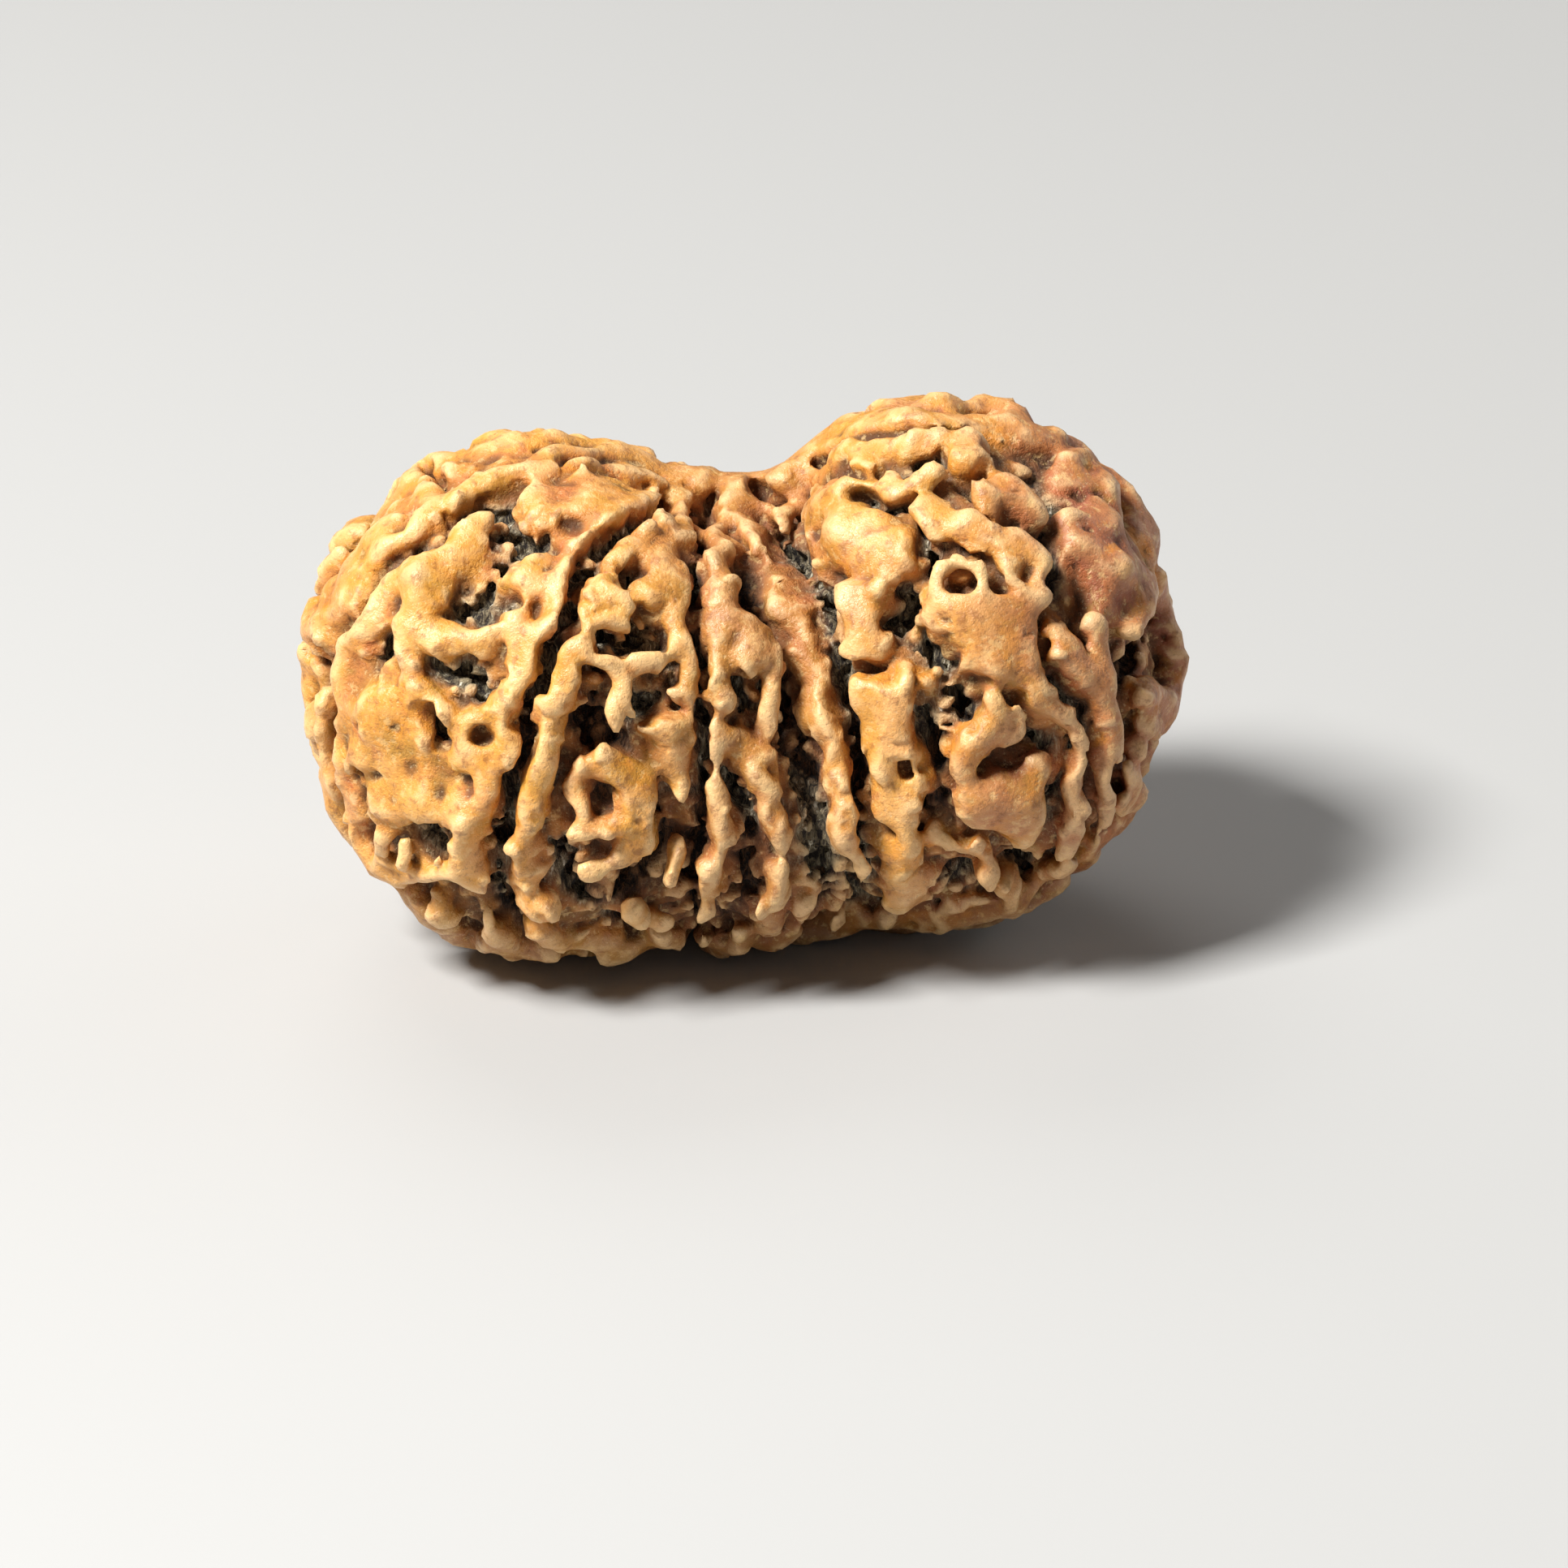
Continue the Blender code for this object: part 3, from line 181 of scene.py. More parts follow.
# Raised parts: width, rise over the body, path
RIDGES = {
    "left shoulder plate": (2.6, 0.9, (508, 575), (560, 568), (620, 560)),
    "left end plate": (2.8, 1.1, (524, 572), (507, 600), (478, 645), (450, 680), (436, 718), (412, 750)),
    "left end knob": (2.2, 1.5, (402, 768), (408, 786)),
    "left rear ridge": (1.1, 1.2, (500, 566), (535, 552), (575, 547), (615, 540), (645, 551)),
    "left rear ridge, inner": (1.0, 1.1, (555, 572), (600, 566), (650, 560), (690, 548)),
    "left end cleft, outer rim": (0.8, 1.1, (575, 622), (545, 628), (525, 650), (505, 672),
        (470, 690), (446, 712), (440, 740), (420, 768)),
    "left end strut": (0.7, 1.0, (525, 608), (530, 640)),
    "left end cleft, inner rim": (1.0, 1.2, (605, 640), (580, 660), (570, 690), (545, 700),
        (510, 708), (485, 728), (470, 752), (455, 778), (440, 802), (428, 830), (425, 850)),
    "round boss": (2.0, 1.6, (525, 735)),
    "top sheet": (2.2, 0.7, (600, 588), (680, 576), (780, 578)),
    "lens ridge": (1.1, 1.1, (580, 615), (610, 601), (640, 601), (652, 610)),
    "top ridge far": (1.1, 1.2, (660, 560), (715, 549), (745, 550), (795, 562), (830, 574)),
    "top ridge middle": (1.0, 1.1, (668, 578), (720, 569), (770, 568), (812, 588)),
    "top ridge near": (0.9, 1.1, (655, 592), (700, 594), (760, 586), (805, 604)),
    "orange plate": (2.9, 1.2, (700, 634), (735, 628), (775, 618)),
    "orange plate, left": (2.0, 1.1, (672, 625), (690, 650)),
    "left cleft, left rim": (1.15, 1.3, (812, 617), (790, 633), (765, 648), (722, 678), (703, 705),
        (693, 730), (680, 760), (663, 790), (653, 820), (643, 850), (633, 880), (618, 905),
        (610, 940), (598, 975), (578, 1000), (575, 1030), (580, 1060), (590, 1085)),
    "left wall": (1.6, 1.1, (660, 700), (650, 730), (640, 770), (628, 800)),
    "left wall, low": (1.1, 1.1, (605, 880), (585, 905), (580, 940), (592, 960)),
    "left cleft, right rim": (1.2, 1.3, (707, 795), (702, 830), (690, 855), (672, 880), (662, 905),
        (665, 950), (655, 975), (640, 1000), (632, 1025), (636, 1050), (648, 1085)),
    "left cleft, right rim knob": (1.5, 1.5, (664, 948)),
    "right rim foot": (1.2, 1.3, (645, 1105), (672, 1108)),
    "left foot knobs": (0.8, 1.2, (603, 1105), (610, 1138), (632, 1158)),
    "left foot knobs, inner": (0.9, 1.2, (655, 1130), (680, 1148)),
    "second knob ridge": (0.9, 1.2, (412, 822), (415, 845), (396, 870), (388, 885), (402, 905)),
    "hollow strut": (0.9, 1.1, (500, 778), (508, 810), (512, 838)),
    "bar": (0.9, 1.2, (510, 770), (545, 793), (600, 792), (630, 782)),
    "yellow boss": (3.8, 1.3, (465, 888), (500, 900)),
    "yellow boss, upper": (1.5, 1.2, (470, 868), (520, 872), (546, 880)),
    "yellow boss, low": (2.6, 1.1, (450, 935), (500, 940)),
    "rough plate": (2.9, 0.9, (520, 965), (575, 960)),
    "rough plate, low": (1.4, 1.0, (470, 985), (520, 990), (570, 985)),
    "left low rim": (0.8, 1.1, (422, 885), (414, 920), (420, 960), (430, 1000)),
    "left low struts": (0.5, 1.1, (476, 1020), (478, 1060)),
    "left low struts, second": (0.5, 1.1, (501, 1020), (503, 1058)),
    "grey knob": (0.8, 1.1, (538, 1040)),
    "lower band": (0.9, 1.1, (440, 1035), (455, 1058), (490, 1070), (555, 1064)),
    "lower band, far": (0.8, 1.1, (470, 1080), (490, 1093), (515, 1106)),
    "left foot boss": (1.3, 1.3, (545, 1112)),
    "triangle boss": (1.3, 1.6, (738, 735), (730, 758), (760, 758), (738, 735)),
    "orange waist plate": (1.2, 1.1, (832, 638), (795, 660), (762, 688), (755, 712)),
    "waist plate": (1.1, 1.1, (838, 660), (812, 690), (790, 730)),
    "pale triangle": (1.2, 1.2, (798, 730), (832, 716), (832, 770)),
    "net, upper arm": (0.9, 1.3, (768, 812), (800, 800), (833, 788)),
    "net, right arm": (0.8, 1.3, (838, 795), (850, 830), (855, 870), (846, 902)),
    "net, inner arm": (0.7, 1.2, (800, 805), (812, 838), (846, 850)),
    "net, low band": (0.9, 1.3, (775, 872), (795, 888), (838, 882)),
    "net, low lobe": (1.3, 1.4, (800, 905), (828, 930), (832, 952)),
    "net, left strand": (0.6, 1.2, (735, 812), (758, 830), (746, 868), (750, 905)),
    "inner ridge": (0.9, 1.1, (735, 935), (725, 968), (720, 998)),
    "inner ridge, foot": (0.8, 1.1, (703, 1020), (738, 1010), (762, 1006)),
    "pale knob": (0.9, 1.3, (765, 943)),
    "pink boss": (1.9, 1.4, (772, 975), (785, 1010)),
    "hook": (1.0, 1.5, (795, 1025), (765, 1045), (722, 1062)),
    "stalked knob": (0.7, 1.3, (815, 1038), (826, 1066)),
    "smile": (0.6, 1.1, (772, 1103), (785, 1122), (805, 1128), (822, 1116)),
    "foot knob": (1.0, 1.2, (802, 1142), (815, 1166)),
    "foot plate": (1.5, 1.2, (728, 1160), (765, 1172)),
    "left of pole": (1.2, 1.1, (828, 592), (836, 630), (846, 668)),
    "saddle ridge": (1.0, 1.2, (842, 572), (862, 604), (888, 600), (905, 582)),
    "thin wall": (0.35, 0.9, (859, 700), (860, 760), (862, 800)),
    "waist ridge": (0.95, 1.2, (905, 620), (890, 660), (885, 700), (885, 760), (890, 795)),
    "waist ridge, knob": (0.8, 1.2, (885, 822), (893, 862)),
    "waist ridge, low": (0.9, 1.2, (882, 885), (890, 940), (884, 985), (878, 1020), (870, 1060),
        (868, 1110)),
    "waist ridge, foot": (0.7, 1.1, (866, 1140), (868, 1165)),
    "waist knob": (1.5, 1.4, (920, 785), (922, 815)),
    "waist strand": (0.6, 1.2, (945, 792), (948, 830), (944, 880), (950, 908)),
    "waist web": (0.9, 1.0, (885, 905), (920, 915), (952, 925)),
    "waist column": (1.0, 1.3, (942, 930), (936, 960), (945, 985), (940, 1008), (950, 1032)),
    "waist column, knobs": (0.7, 1.2, (951, 1060), (952, 1098)),
    "waist column, foot": (0.8, 1.1, (915, 1092), (930, 1110), (957, 1145)),
    "waist column, foot two": (0.6, 1.1, (905, 1132), (938, 1163)),
    "fork": (0.8, 1.1, (905, 620), (922, 660), (935, 692)),
    "strap": (1.35, 1.4, (942, 642), (953, 680), (964, 735), (978, 780), (990, 815)),
    "strap, low": (1.15, 1.5, (982, 795), (993, 822), (1003, 850), (1015, 890), (1022, 920),
        (1030, 955), (1036, 985), (1039, 1030)),
    "strap, foot": (0.5, 1.1, (1036, 1045), (1047, 1072), (1046, 1100)),
    "cleft strand": (0.35, 0.0, (1020, 775), (1037, 815), (1048, 858)),
    "valley foot": (0.8, 0.9, (985, 1120), (1028, 1138)),
    "pole block": (2.2, 1.4, (940, 562), (970, 560)),
    "pole block, far": (2.2, 1.7, (928, 546), (978, 534)),
    "pole block, foot": (1.1, 1.1, (925, 600), (975, 596)),
    "right rear ridge": (1.2, 1.3, (985, 528), (1020, 512), (1045, 500), (1070, 490), (1112, 492),
        (1150, 505)),
    "right rear net": (0.6, 1.1, (1045, 508), (1068, 520), (1118, 520), (1150, 512)),
    "right rear strut": (0.5, 1.1, (1093, 494), (1095, 518)),
    "right rear fill": (1.6, 1.1, (1250, 532), (1285, 546)),
    "right top ridge": (1.1, 1.3, (1000, 545), (1040, 532), (1080, 519), (1160, 512), (1205, 503),
        (1250, 520)),
    "right top band": (2.0, 1.2, (1000, 570), (1050, 556), (1110, 546), (1200, 545)),
    "right lens ridge": (1.1, 1.2, (1000, 600), (1040, 590), (1080, 601), (1115, 612), (1160, 602)),
    "shield": (3.0, 1.4, (1020, 645), (1045, 660), (1085, 680)),
    "shield, tip": (1.8, 1.3, (1095, 672), (1118, 676)),
    "shield, top": (1.3, 1.2, (1000, 620), (1030, 620), (1075, 640)),
    "under the shield": (0.8, 1.2, (1045, 722), (1080, 724), (1106, 714)),
    "chain one": (1.9, 1.5, (1052, 745), (1066, 775), (1064, 805)),
    "chain two": (2.1, 1.6, (1078, 845), (1090, 880), (1096, 920), (1094, 965)),
    "chain two, side": (1.3, 1.3, (1120, 905), (1130, 940), (1122, 975)),
    "chain neck": (1.0, 1.5, (1096, 985), (1098, 1020), (1099, 1060)),
    "chain three": (1.3, 1.4, (1100, 1060), (1099, 1100)),
    "chain foot": (0.9, 1.3, (1087, 1122), (1090, 1155)),
    "sail": (1.3, 1.0, (1125, 1070), (1140, 1078), (1118, 1105)),
    "pocket rim": (0.55, 0.8, (1120, 1002), (1140, 1022), (1172, 1036), (1200, 1040)),
    "cave strand": (0.6, 1.0, (1125, 830), (1112, 850), (1118, 872)),
    "finger": (0.8, 1.3, (1136, 634), (1160, 646), (1190, 661), (1212, 667)),
    "grey ring": (0.6, 1.4, (1175, 703), (1190, 711), (1194, 727), (1182, 740), (1165, 738),
        (1157, 723), (1162, 708), (1175, 703)),
    "corner knob": (1.1, 1.3, (1190, 571), (1222, 569)),
    "corner boss": (1.7, 1.5, (1245, 605), (1250, 628)),
    "corner boss, left": (1.0, 1.3, (1205, 622), (1225, 632)),
    "small plate": (1.5, 1.3, (1250, 680), (1262, 705)),
    "small plate, rim": (0.7, 1.3, (1223, 682), (1236, 712), (1256, 736), (1276, 750)),
    "great boss": (3.0, 1.9, (1200, 775), (1235, 800)),
    "great boss, upper": (1.5, 1.7, (1178, 752), (1215, 758)),
    "great boss, tip": (1.3, 1.7, (1262, 812)),
    "cap plate": (2.8, 1.3, (1345, 640), (1352, 680), (1362, 715)),
    "cap plate, left": (1.8, 1.2, (1315, 640), (1330, 690)),
    "cap plate, low": (2.0, 1.1, (1380, 690), (1385, 740)),
    "outer rim": (1.0, 1.3, (1300, 568), (1340, 583), (1370, 612), (1392, 652), (1402, 692),
        (1396, 732), (1380, 768)),
    "outer knob": (1.0, 1.2, (1300, 552)),
    "fork ridge": (1.0, 1.3, (1296, 796), (1320, 820), (1342, 850), (1348, 900), (1342, 955)),
    "fork ridge, right arm": (1.0, 1.4, (1341, 772), (1350, 800), (1351, 845)),
    "grey patch rim": (1.1, 1.4, (1412, 712), (1438, 748), (1455, 780), (1466, 818), (1456, 850),
        (1425, 868), (1395, 862)),
    "grey patch rim, low": (1.2, 1.3, (1452, 868), (1425, 890), (1400, 890)),
    "loop, right": (0.95, 1.3, (1266, 852), (1282, 872), (1302, 897), (1322, 935), (1325, 980),
        (1315, 1005), (1302, 1040)),
    "loop, hook": (1.3, 1.5, (1212, 875), (1216, 892), (1202, 915), (1190, 940)),
    "loop, inner rim": (0.6, 1.2, (1242, 872), (1251, 890), (1238, 928)),
    "lower boss": (2.2, 1.6, (1218, 975), (1245, 985)),
    "lower boss, left": (1.2, 1.4, (1195, 965), (1198, 995)),
    "lower boss, right": (1.2, 1.4, (1262, 950), (1268, 985), (1260, 1015)),
    "stem": (0.8, 1.2, (1202, 1022), (1213, 1050), (1214, 1075)),
    "bowl rim": (0.8, 1.4, (1233, 1078), (1238, 1100), (1248, 1116), (1265, 1122), (1285, 1113),
        (1300, 1090), (1303, 1052)),
    "end worm one": (0.6, 1.2, (1375, 945), (1386, 962), (1396, 982)),
    "end worm two": (0.6, 1.2, (1355, 905), (1366, 932)),
    "end worm three": (0.6, 1.2, (1345, 965), (1352, 998)),
    "end worm four": (0.6, 1.2, (1366, 972), (1384, 992), (1372, 1022)),
    "end worm five": (0.6, 1.2, (1340, 1012), (1338, 1056)),
    "end block": (1.0, 1.2, (1392, 925)),
    "low right knobs": (0.8, 1.1, (1160, 1118), (1200, 1112)),
}

# Small holes and thin creases, cut last: width, depth, path
PITS = {
    "valley top": (0.45, 0.9, (926, 660), (936, 705), (948, 765)),
    "chain gap": (0.45, 0.9, (1036, 824), (1062, 827), (1092, 818)),
    "left pit": (0.5, 0.5, (512, 628)),
    "left pit two": (0.5, 0.4, (495, 648)),
    "rim pit": (0.4, 0.6, (650, 747), (650, 757)),
    "round pit": (1.0, 0.9, (597, 913)),
    "rim slit": (0.35, 0.6, (622, 785), (618, 815)),
    "far pits": (0.6, 0.7, (685, 570), (708, 562)),
    "plate hollow": (0.8, 0.6, (700, 650)),
    "lens slit": (0.35, 0.7, (602, 624), (640, 622)),
    "top crease": (0.3, 0.5, (720, 560), (770, 559), (818, 580)),
    "top crease two": (0.3, 0.5, (682, 585), (760, 577), (805, 596)),
    "net eye": (0.6, 0.9, (823, 822)),
    "boss eye": (0.75, 1.0, (750, 978), (750, 992)),
    "column eye": (0.4, 0.6, (955, 948)),
    "low eye": (0.8, 0.8, (755, 1110)),
    "strap notch": (0.4, 0.6, (1000, 872)),
    "rear eye": (0.8, 0.9, (1066, 508), (1076, 508)),
    "rear eye two": (0.6, 0.8, (1112, 508), (1124, 508)),
    "right crease": (0.3, 0.5, (1000, 560), (1050, 544), (1110, 531), (1235, 533)),
    "right crease two": (0.25, 0.4, (1000, 581), (1080, 590)),
    "band pits": (0.4, 0.5, (1012, 572), (1032, 572)),
    "slit pit": (0.45, 0.7, (1220, 550), (1238, 550)),
    "ring eye": (0.6, 1.1, (1175, 722)),
    "plate pit": (0.5, 0.6, (1260, 705)),
    "chain pit": (0.35, 0.5, (1118, 932), (1118, 950)),
    "pocket pit": (0.5, 0.7, (1148, 992)),
    "boss crease": (0.4, 0.6, (1210, 955), (1245, 935)),
    "rim crease": (0.3, 0.5, (1300, 585), (1345, 597), (1385, 650)),
    "boss pits": (0.4, 0.4, (435, 955)),
    "boss pits two": (0.4, 0.4, (462, 957)),
    "rough pits": (0.45, 0.4, (540, 977)),
    "rough pits two": (0.4, 0.4, (575, 965)),
}

# Skin between raised parts, which leaves only shallow folds there: width, rise, path
SHEETS = {
    "left end": (3.0, 0.85, (560, 585), (512, 630), (475, 680), (440, 730), (420, 765)),
    "left end, inner": (1.8, 0.75, (560, 690), (505, 725), (465, 775), (445, 830)),
    "left top": (2.6, 0.85, (545, 565), (620, 560), (700, 566), (790, 574)),
    "right top": (2.2, 1.05, (1010, 548), (1080, 534), (1170, 526), (1240, 532)),
    "right top, front": (1.4, 0.85, (1000, 580), (1050, 572), (1070, 590)),
    "cap": (2.4, 1.05, (1310, 585), (1350, 612), (1378, 660), (1385, 720)),
    "cap, foot": (1.6, 0.9, (1345, 720), (1360, 745)),
    "great boss": (1.8, 1.1, (1160, 760), (1185, 790)),
    "net": (1.2, 0.7, (800, 880), (838, 900)),
    "yellow boss": (2.4, 0.8, (440, 860), (450, 940), (470, 990)),
}

# The low pads that the flat spot is cut from: width, rise, and (x, y) ends in millimetres
RESTING_PADS = {
    "left lobe": (3.8, 1.6, (-7.4, 0.4), (-3.6, -0.6)),
    "right lobe": (3.4, 1.9, (4.4, -0.6), (7.2, 0.4)),
}

# The side away from the front, the ends and the underside: directions round the upright pole
# axis in degrees, 0 toward the right lobe's end and 90 straight back
REAR_CLEFTS = (-16, 8, 33, 52, 74, 92, 110, 131, 152, 173, 193)
UNDER_CLEFTS = (-150, -121, -97, -72, -50)
DEPTH_PER_WIDTH = 1.4
RIM_OFFSET = 0.85
RIM_WAVE = 0.22
RIM_WIDTH = 1.1
RIM_RISE = 1.2
WORM_SPACING = 2.0
WORM_TRIES = 9000
CLEFT_CLEARANCE = 1.25

# The greatest squareness to the front view at which clefts and what grows between them may lie
REAR_SEEN = 0.12
UNDER_SEEN = 0.1
TISSUE_SEEN = 0.06

# The height over the body at which picture places are read, the share of its width that a
# groove gets back once the ridges stand, and how far up it is then open
HALF_RISE = 0.5
REOPENING = 0.65
REOPENED_TOP = RIM_RISE + 0.3

# Fine relief that only shows close up, in millimetres: hill spacing, height on the raised parts
# and height down in the clefts
GRAIN = ((0.9, 0.02, 0.03), (0.42, 0.018, 0.05), (0.26, 0.012, 0.05))

# Crumbs: how many, their radii, the highest level over the body where they lie, their blend
CRUMBS = 3400
CRUMB_RADII = (0.12, 0.28)
CRUMB_LEVEL = 0.15
CRUMB_BLEND = 0.08

# Fibrous floors: depth under the body, its unevenness, the hills' spacing, the blend
FLOOR_DEPTH = 0.85
FLOOR_WAVE = 0.16
FLOOR_SPACING = 0.7
FLOOR_BLEND = 0.15

# The fine ridges are this much wider than the coarse ones, and worn to about this height
GROWTH = 0.14
WORN_LEVEL = 1.5
WORN_WAVE = 0.18
WORN_SPACING = 1.8
WORN_BLEND = 0.4

# Fine strokes over the surface: how many, points in each, their stride, least and greatest
# radius, whether they are cut in, and the highest level over the body where they start
STRANDS = (
    (3200, 7, 0.24, 0.11, 0.19, False, 0.2),
    (700, 5, 0.28, 0.14, 0.24, False, 0.5),
    (500, 6, 0.30, 0.08, 0.12, True, 2.0),
    (800, 2, 0.08, 0.11, 0.21, True, 2.0),
)
STRAND_TURN = 0.45
STRAND_BLEND = 0.12

# How far a point stands out of what lies near and further off is read from the field, held
# within this limit and evened out this many times, and then this many more
FIELD_LIMIT = 0.6
BULGE_PASSES = 5
SWELL_PASSES = 16

# Noise patterns in the wood: hills in a metre, detail, roughness, distortion
PATTERNS = {
    "kinds": (170.0, 2.0, 0.55, 0.0),
    "patches": (210.0, 3.0, 0.55, 0.4),
    "amber": (380.0, 3.0, 0.6, 0.5),
    "blotches": (650.0, 4.0, 0.6, 0.3),
    "mottle": (2000.0, 4.0, 0.65, 0.0),
    "specks": (6000.0, 3.0, 0.7, 0.0),
}
FIBRES = (4200.0, 4.0, 0.7, 0.8)
FIBRE_STRETCH = (1.0, 1.0, 0.3)

# The wood's and the floors' main colours, alone or as pairs that a pattern mixes
OCHRE = ("D3923A", "C07A36")
RED = ("B06A40", "8E4C34")
# Gold is laid on the crests as painted highlight
GOLD_HIGHLIGHT = ("F0B670", "E2A048")
RED_GOLD_HIGHLIGHT = "C07E50"
GREY_FIBRE = ("2A221D", "928468")
PALE_FIBRE = "F2EAD4"
# Brown fibre and the darker crumbs go on the lower floors, partly as painted shade
BROWN_FIBRE = ("180C06", "7A5230")
CRUMB_COLOURS = ("8A6038", "CDB992")

# Colours laid over the wood in turn: what steers each, the range in which it comes or goes, how
# much of it shows at the range's two ends, and the colour. First amber, olive and orange patches
PATCH_LAYERS = (
    ("amber", 0.52, 0.64, 0.0, 0.70, "D88A22"),
    ("blotches", 0.54, 0.64, 0.0, 0.60, "A0782A"),
    ("blotches", 0.34, 0.46, 0.65, 0.0, "B4602E"),
)

# Then painted shade in brown on the flanks, the waist and the underside, painted highlight on the pale
# edges, painted shade in the dark dips, and mottling and specks
PAINTED_LIGHT_AND_MOTTLE_LAYERS = (
    # painted shade: brown on the low flanks between the raised parts
    ("top", 0.08, 0.50, 0.80, 0.0, "6C4422"),
    # painted shade: browner at the waist between the lobes
    ("off waist", 0.001, 0.005, 0.42, 0.0, "8C5636"),
    # painted shade: darker towards the underside
    ("upward", 0.002, 0.0075, 0.55, 0.0, "5C3A20"),
    # painted highlight: pale on the edges that stand out
    ("edge", 0.06, 0.13, 0.0, 0.50, "F8D49C"),
    # painted shade: dark in the dips and creases
    ("edge", -0.06, 0.015, 0.75, 0.0, "42260F"),
    ("mottle", 0.52, 0.68, 0.0, 0.55, "84491F"),
    ("mottle", 0.34, 0.46, 0.40, 0.0, "F4CE8C"),
    ("specks", 0.58, 0.76, 0.0, 0.40, "6A3B1A"),
    ("specks", 0.26, 0.42, 0.32, 0.0, "F8DCAE"),
)

# Last, over wood and floors alike, near black painted shade in the deepest places
DEEPEST_SHADE_LAYERS = (("height", -1.5, -0.9, 0.85, 0.0, "140B06"),)

# Grain too fine for the mesh: strength, and depth in metres
BUMP_STRENGTH = 0.8
BUMP_DEPTH = 0.00017

# The stage, in metres and watts. Lights: place, size, power
FLOOR_COLOUR = (0.46, 0.455, 0.44, 1.0)
FLOOR_ROUGHNESS = 0.8
LIT_PLACE = (0.0, 0.0, 0.01)
LIGHTS = {
    "key": ((-0.23, -0.12, 0.35), 0.11, 3.55),
    "fill": ((0.05, -0.36, 0.16), 0.30, 0.05),
    "back": ((-0.08, 0.28, 0.32), 0.25, 0.45),
    "side": ((0.30, 0.14, 0.16), 0.25, 0.30),
}
WORLD_COLOUR = (0.83, 0.82, 0.81, 1.0)
WORLD_STRENGTH = 0.075
SENSOR_WIDTH = 36.0


def unit(vector):
    return vector / np.linalg.norm(vector, axis=-1, keepdims=True)


def smooth_least(a, b, blend):
    """The lesser of two distances, rounded where they meet."""
    mix = np.clip(0.5 + 0.5 * (b - a) / blend, 0.0, 1.0)
    return b + (a - b) * mix - blend * mix * (1.0 - mix)


def rounded(points, centre, radii, fullness=2.0, lean=0.0):
    """Distance from an egg shape. A fullness of 2 is an ellipsoid, and more is squarer.

    Its top leans this far along +X.
    """
    offset = (points - np.asarray(centre)) / np.asarray(radii)
    offset[..., 0] -= lean / radii[0] * offset[..., 2]
    offset = np.abs(offset)
    near = (offset ** fullness).sum(axis=-1) ** (1.0 / fullness)
    share = offset / np.maximum(near, 1e-6)[..., None]
    steep = np.linalg.norm(share ** (fullness - 1.0) / np.asarray(radii), axis=-1)
    return (near - 1.0) / np.maximum(steep, 1e-6)


def body(points):
    """Distance from the smooth body: two lobes, the waist between them, a dent at each pole."""
    whole = smooth_least(rounded(points, LEFT_CENTRE, LEFT_RADII, LEFT_FULLNESS, LEFT_LEAN),
                         rounded(points, RIGHT_CENTRE, RIGHT_RADII, RIGHT_FULLNESS), WAIST_BLEND)
    for centre, radii in ((WAIST_CENTRE, WAIST_RADII), (WAIST_FOOT_CENTRE, WAIST_FOOT_RADII)):
        whole = smooth_least(whole, rounded(points, centre, radii), WAIST_BLEND)
    for pole_z, sign in ((UPPER_POLE_Z, 1.0), (LOWER_POLE_Z, -1.0)):
        dent = np.linalg.norm(points - np.array((POLE_X, 0.0, pole_z + sign * POLE_DENT)), axis=-1)
        whole = -smooth_least(-whole, dent - 2.0 * POLE_DENT, POLE_BLEND)
    return whole


def outward(points):
    """The body's outward direction at each point."""
    slope = []
    for axis in np.eye(3) * 0.05:
        slope.append(body(points + axis) - body(points - axis))
    return unit(np.stack(slope, axis=-1))


def lay_on(points, level):
    """Moves points along the outward direction onto the layer at this height over the body."""
    for _ in range(4):
        points = points - outward(points) * (body(points) - level)[..., None]
    return points


def view_axes():
    """The photographed view's right, up and ahead directions, and the eye's place."""
    up_angle = np.radians(VIEW_ELEVATION)
    turn = np.radians(VIEW_AZIMUTH)
    ahead = np.array((-np.sin(turn) * np.cos(up_angle), np.cos(turn) * np.cos(up_angle), -np.sin(up_angle)))
    right = np.array((np.cos(turn), np.sin(turn), 0.0))
    up = np.cross(right, ahead)
    middle = right * VIEW_RIGHT_SHIFT + up * VIEW_UP_SHIFT
    return right, up, ahead, middle - ahead * VIEW_DISTANCE


def from_view(places, level):
    """Carries picture places onto the body's layer at this height, along the lines of sight."""
    right, up, ahead, eye = view_axes()
    places = np.asarray(places, float)
    across = (places[:, 0] - PICTURE_MIDDLE) / PICTURE_SCALE
    down = (places[:, 1] - PICTURE_MIDDLE) / PICTURE_SCALE
    sight = unit(ahead + across[:, None] * right - down[:, None] * up)
    reach = np.linspace(VIEW_DISTANCE - SIGHT_BEFORE, VIEW_DISTANCE + SIGHT_BEYOND, SIGHT_STEPS)
    along = eye + sight[:, None, :] * reach[None, :, None]
    height = body(along) - level
    hit = height < 0.0
    first = np.where(hit.any(axis=1), hit.argmax(axis=1), height.argmin(axis=1))
    return lay_on(along[np.arange(len(places)), first], level)


def on_front(path):
    """Carries a front feature's picture places onto the smooth body."""
    return lay_on(from_view(path, HALF_RISE), 0.0)


def from_pole(direction, angles, level):
    """Points on the body along one meridian; angles run from the upper pole, in degrees."""
    turn = np.radians(direction)
    tilt = np.radians(np.asarray(angles, float))
    ray = np.stack((np.cos(turn) * np.sin(tilt), np.sin(turn) * np.sin(tilt), np.cos(tilt)), axis=-1)
    low = np.zeros(len(tilt))
    high = np.full(len(tilt), OUTSIDE)
    for _ in range(HALVINGS):
        half = 0.5 * (low + high)
        inside = body(np.array(MIDDLE) + ray * half[:, None]) < level
        low = np.where(inside, half, low)
        high = np.where(inside, high, half)
    return np.array(MIDDLE) + ray * low[:, None]


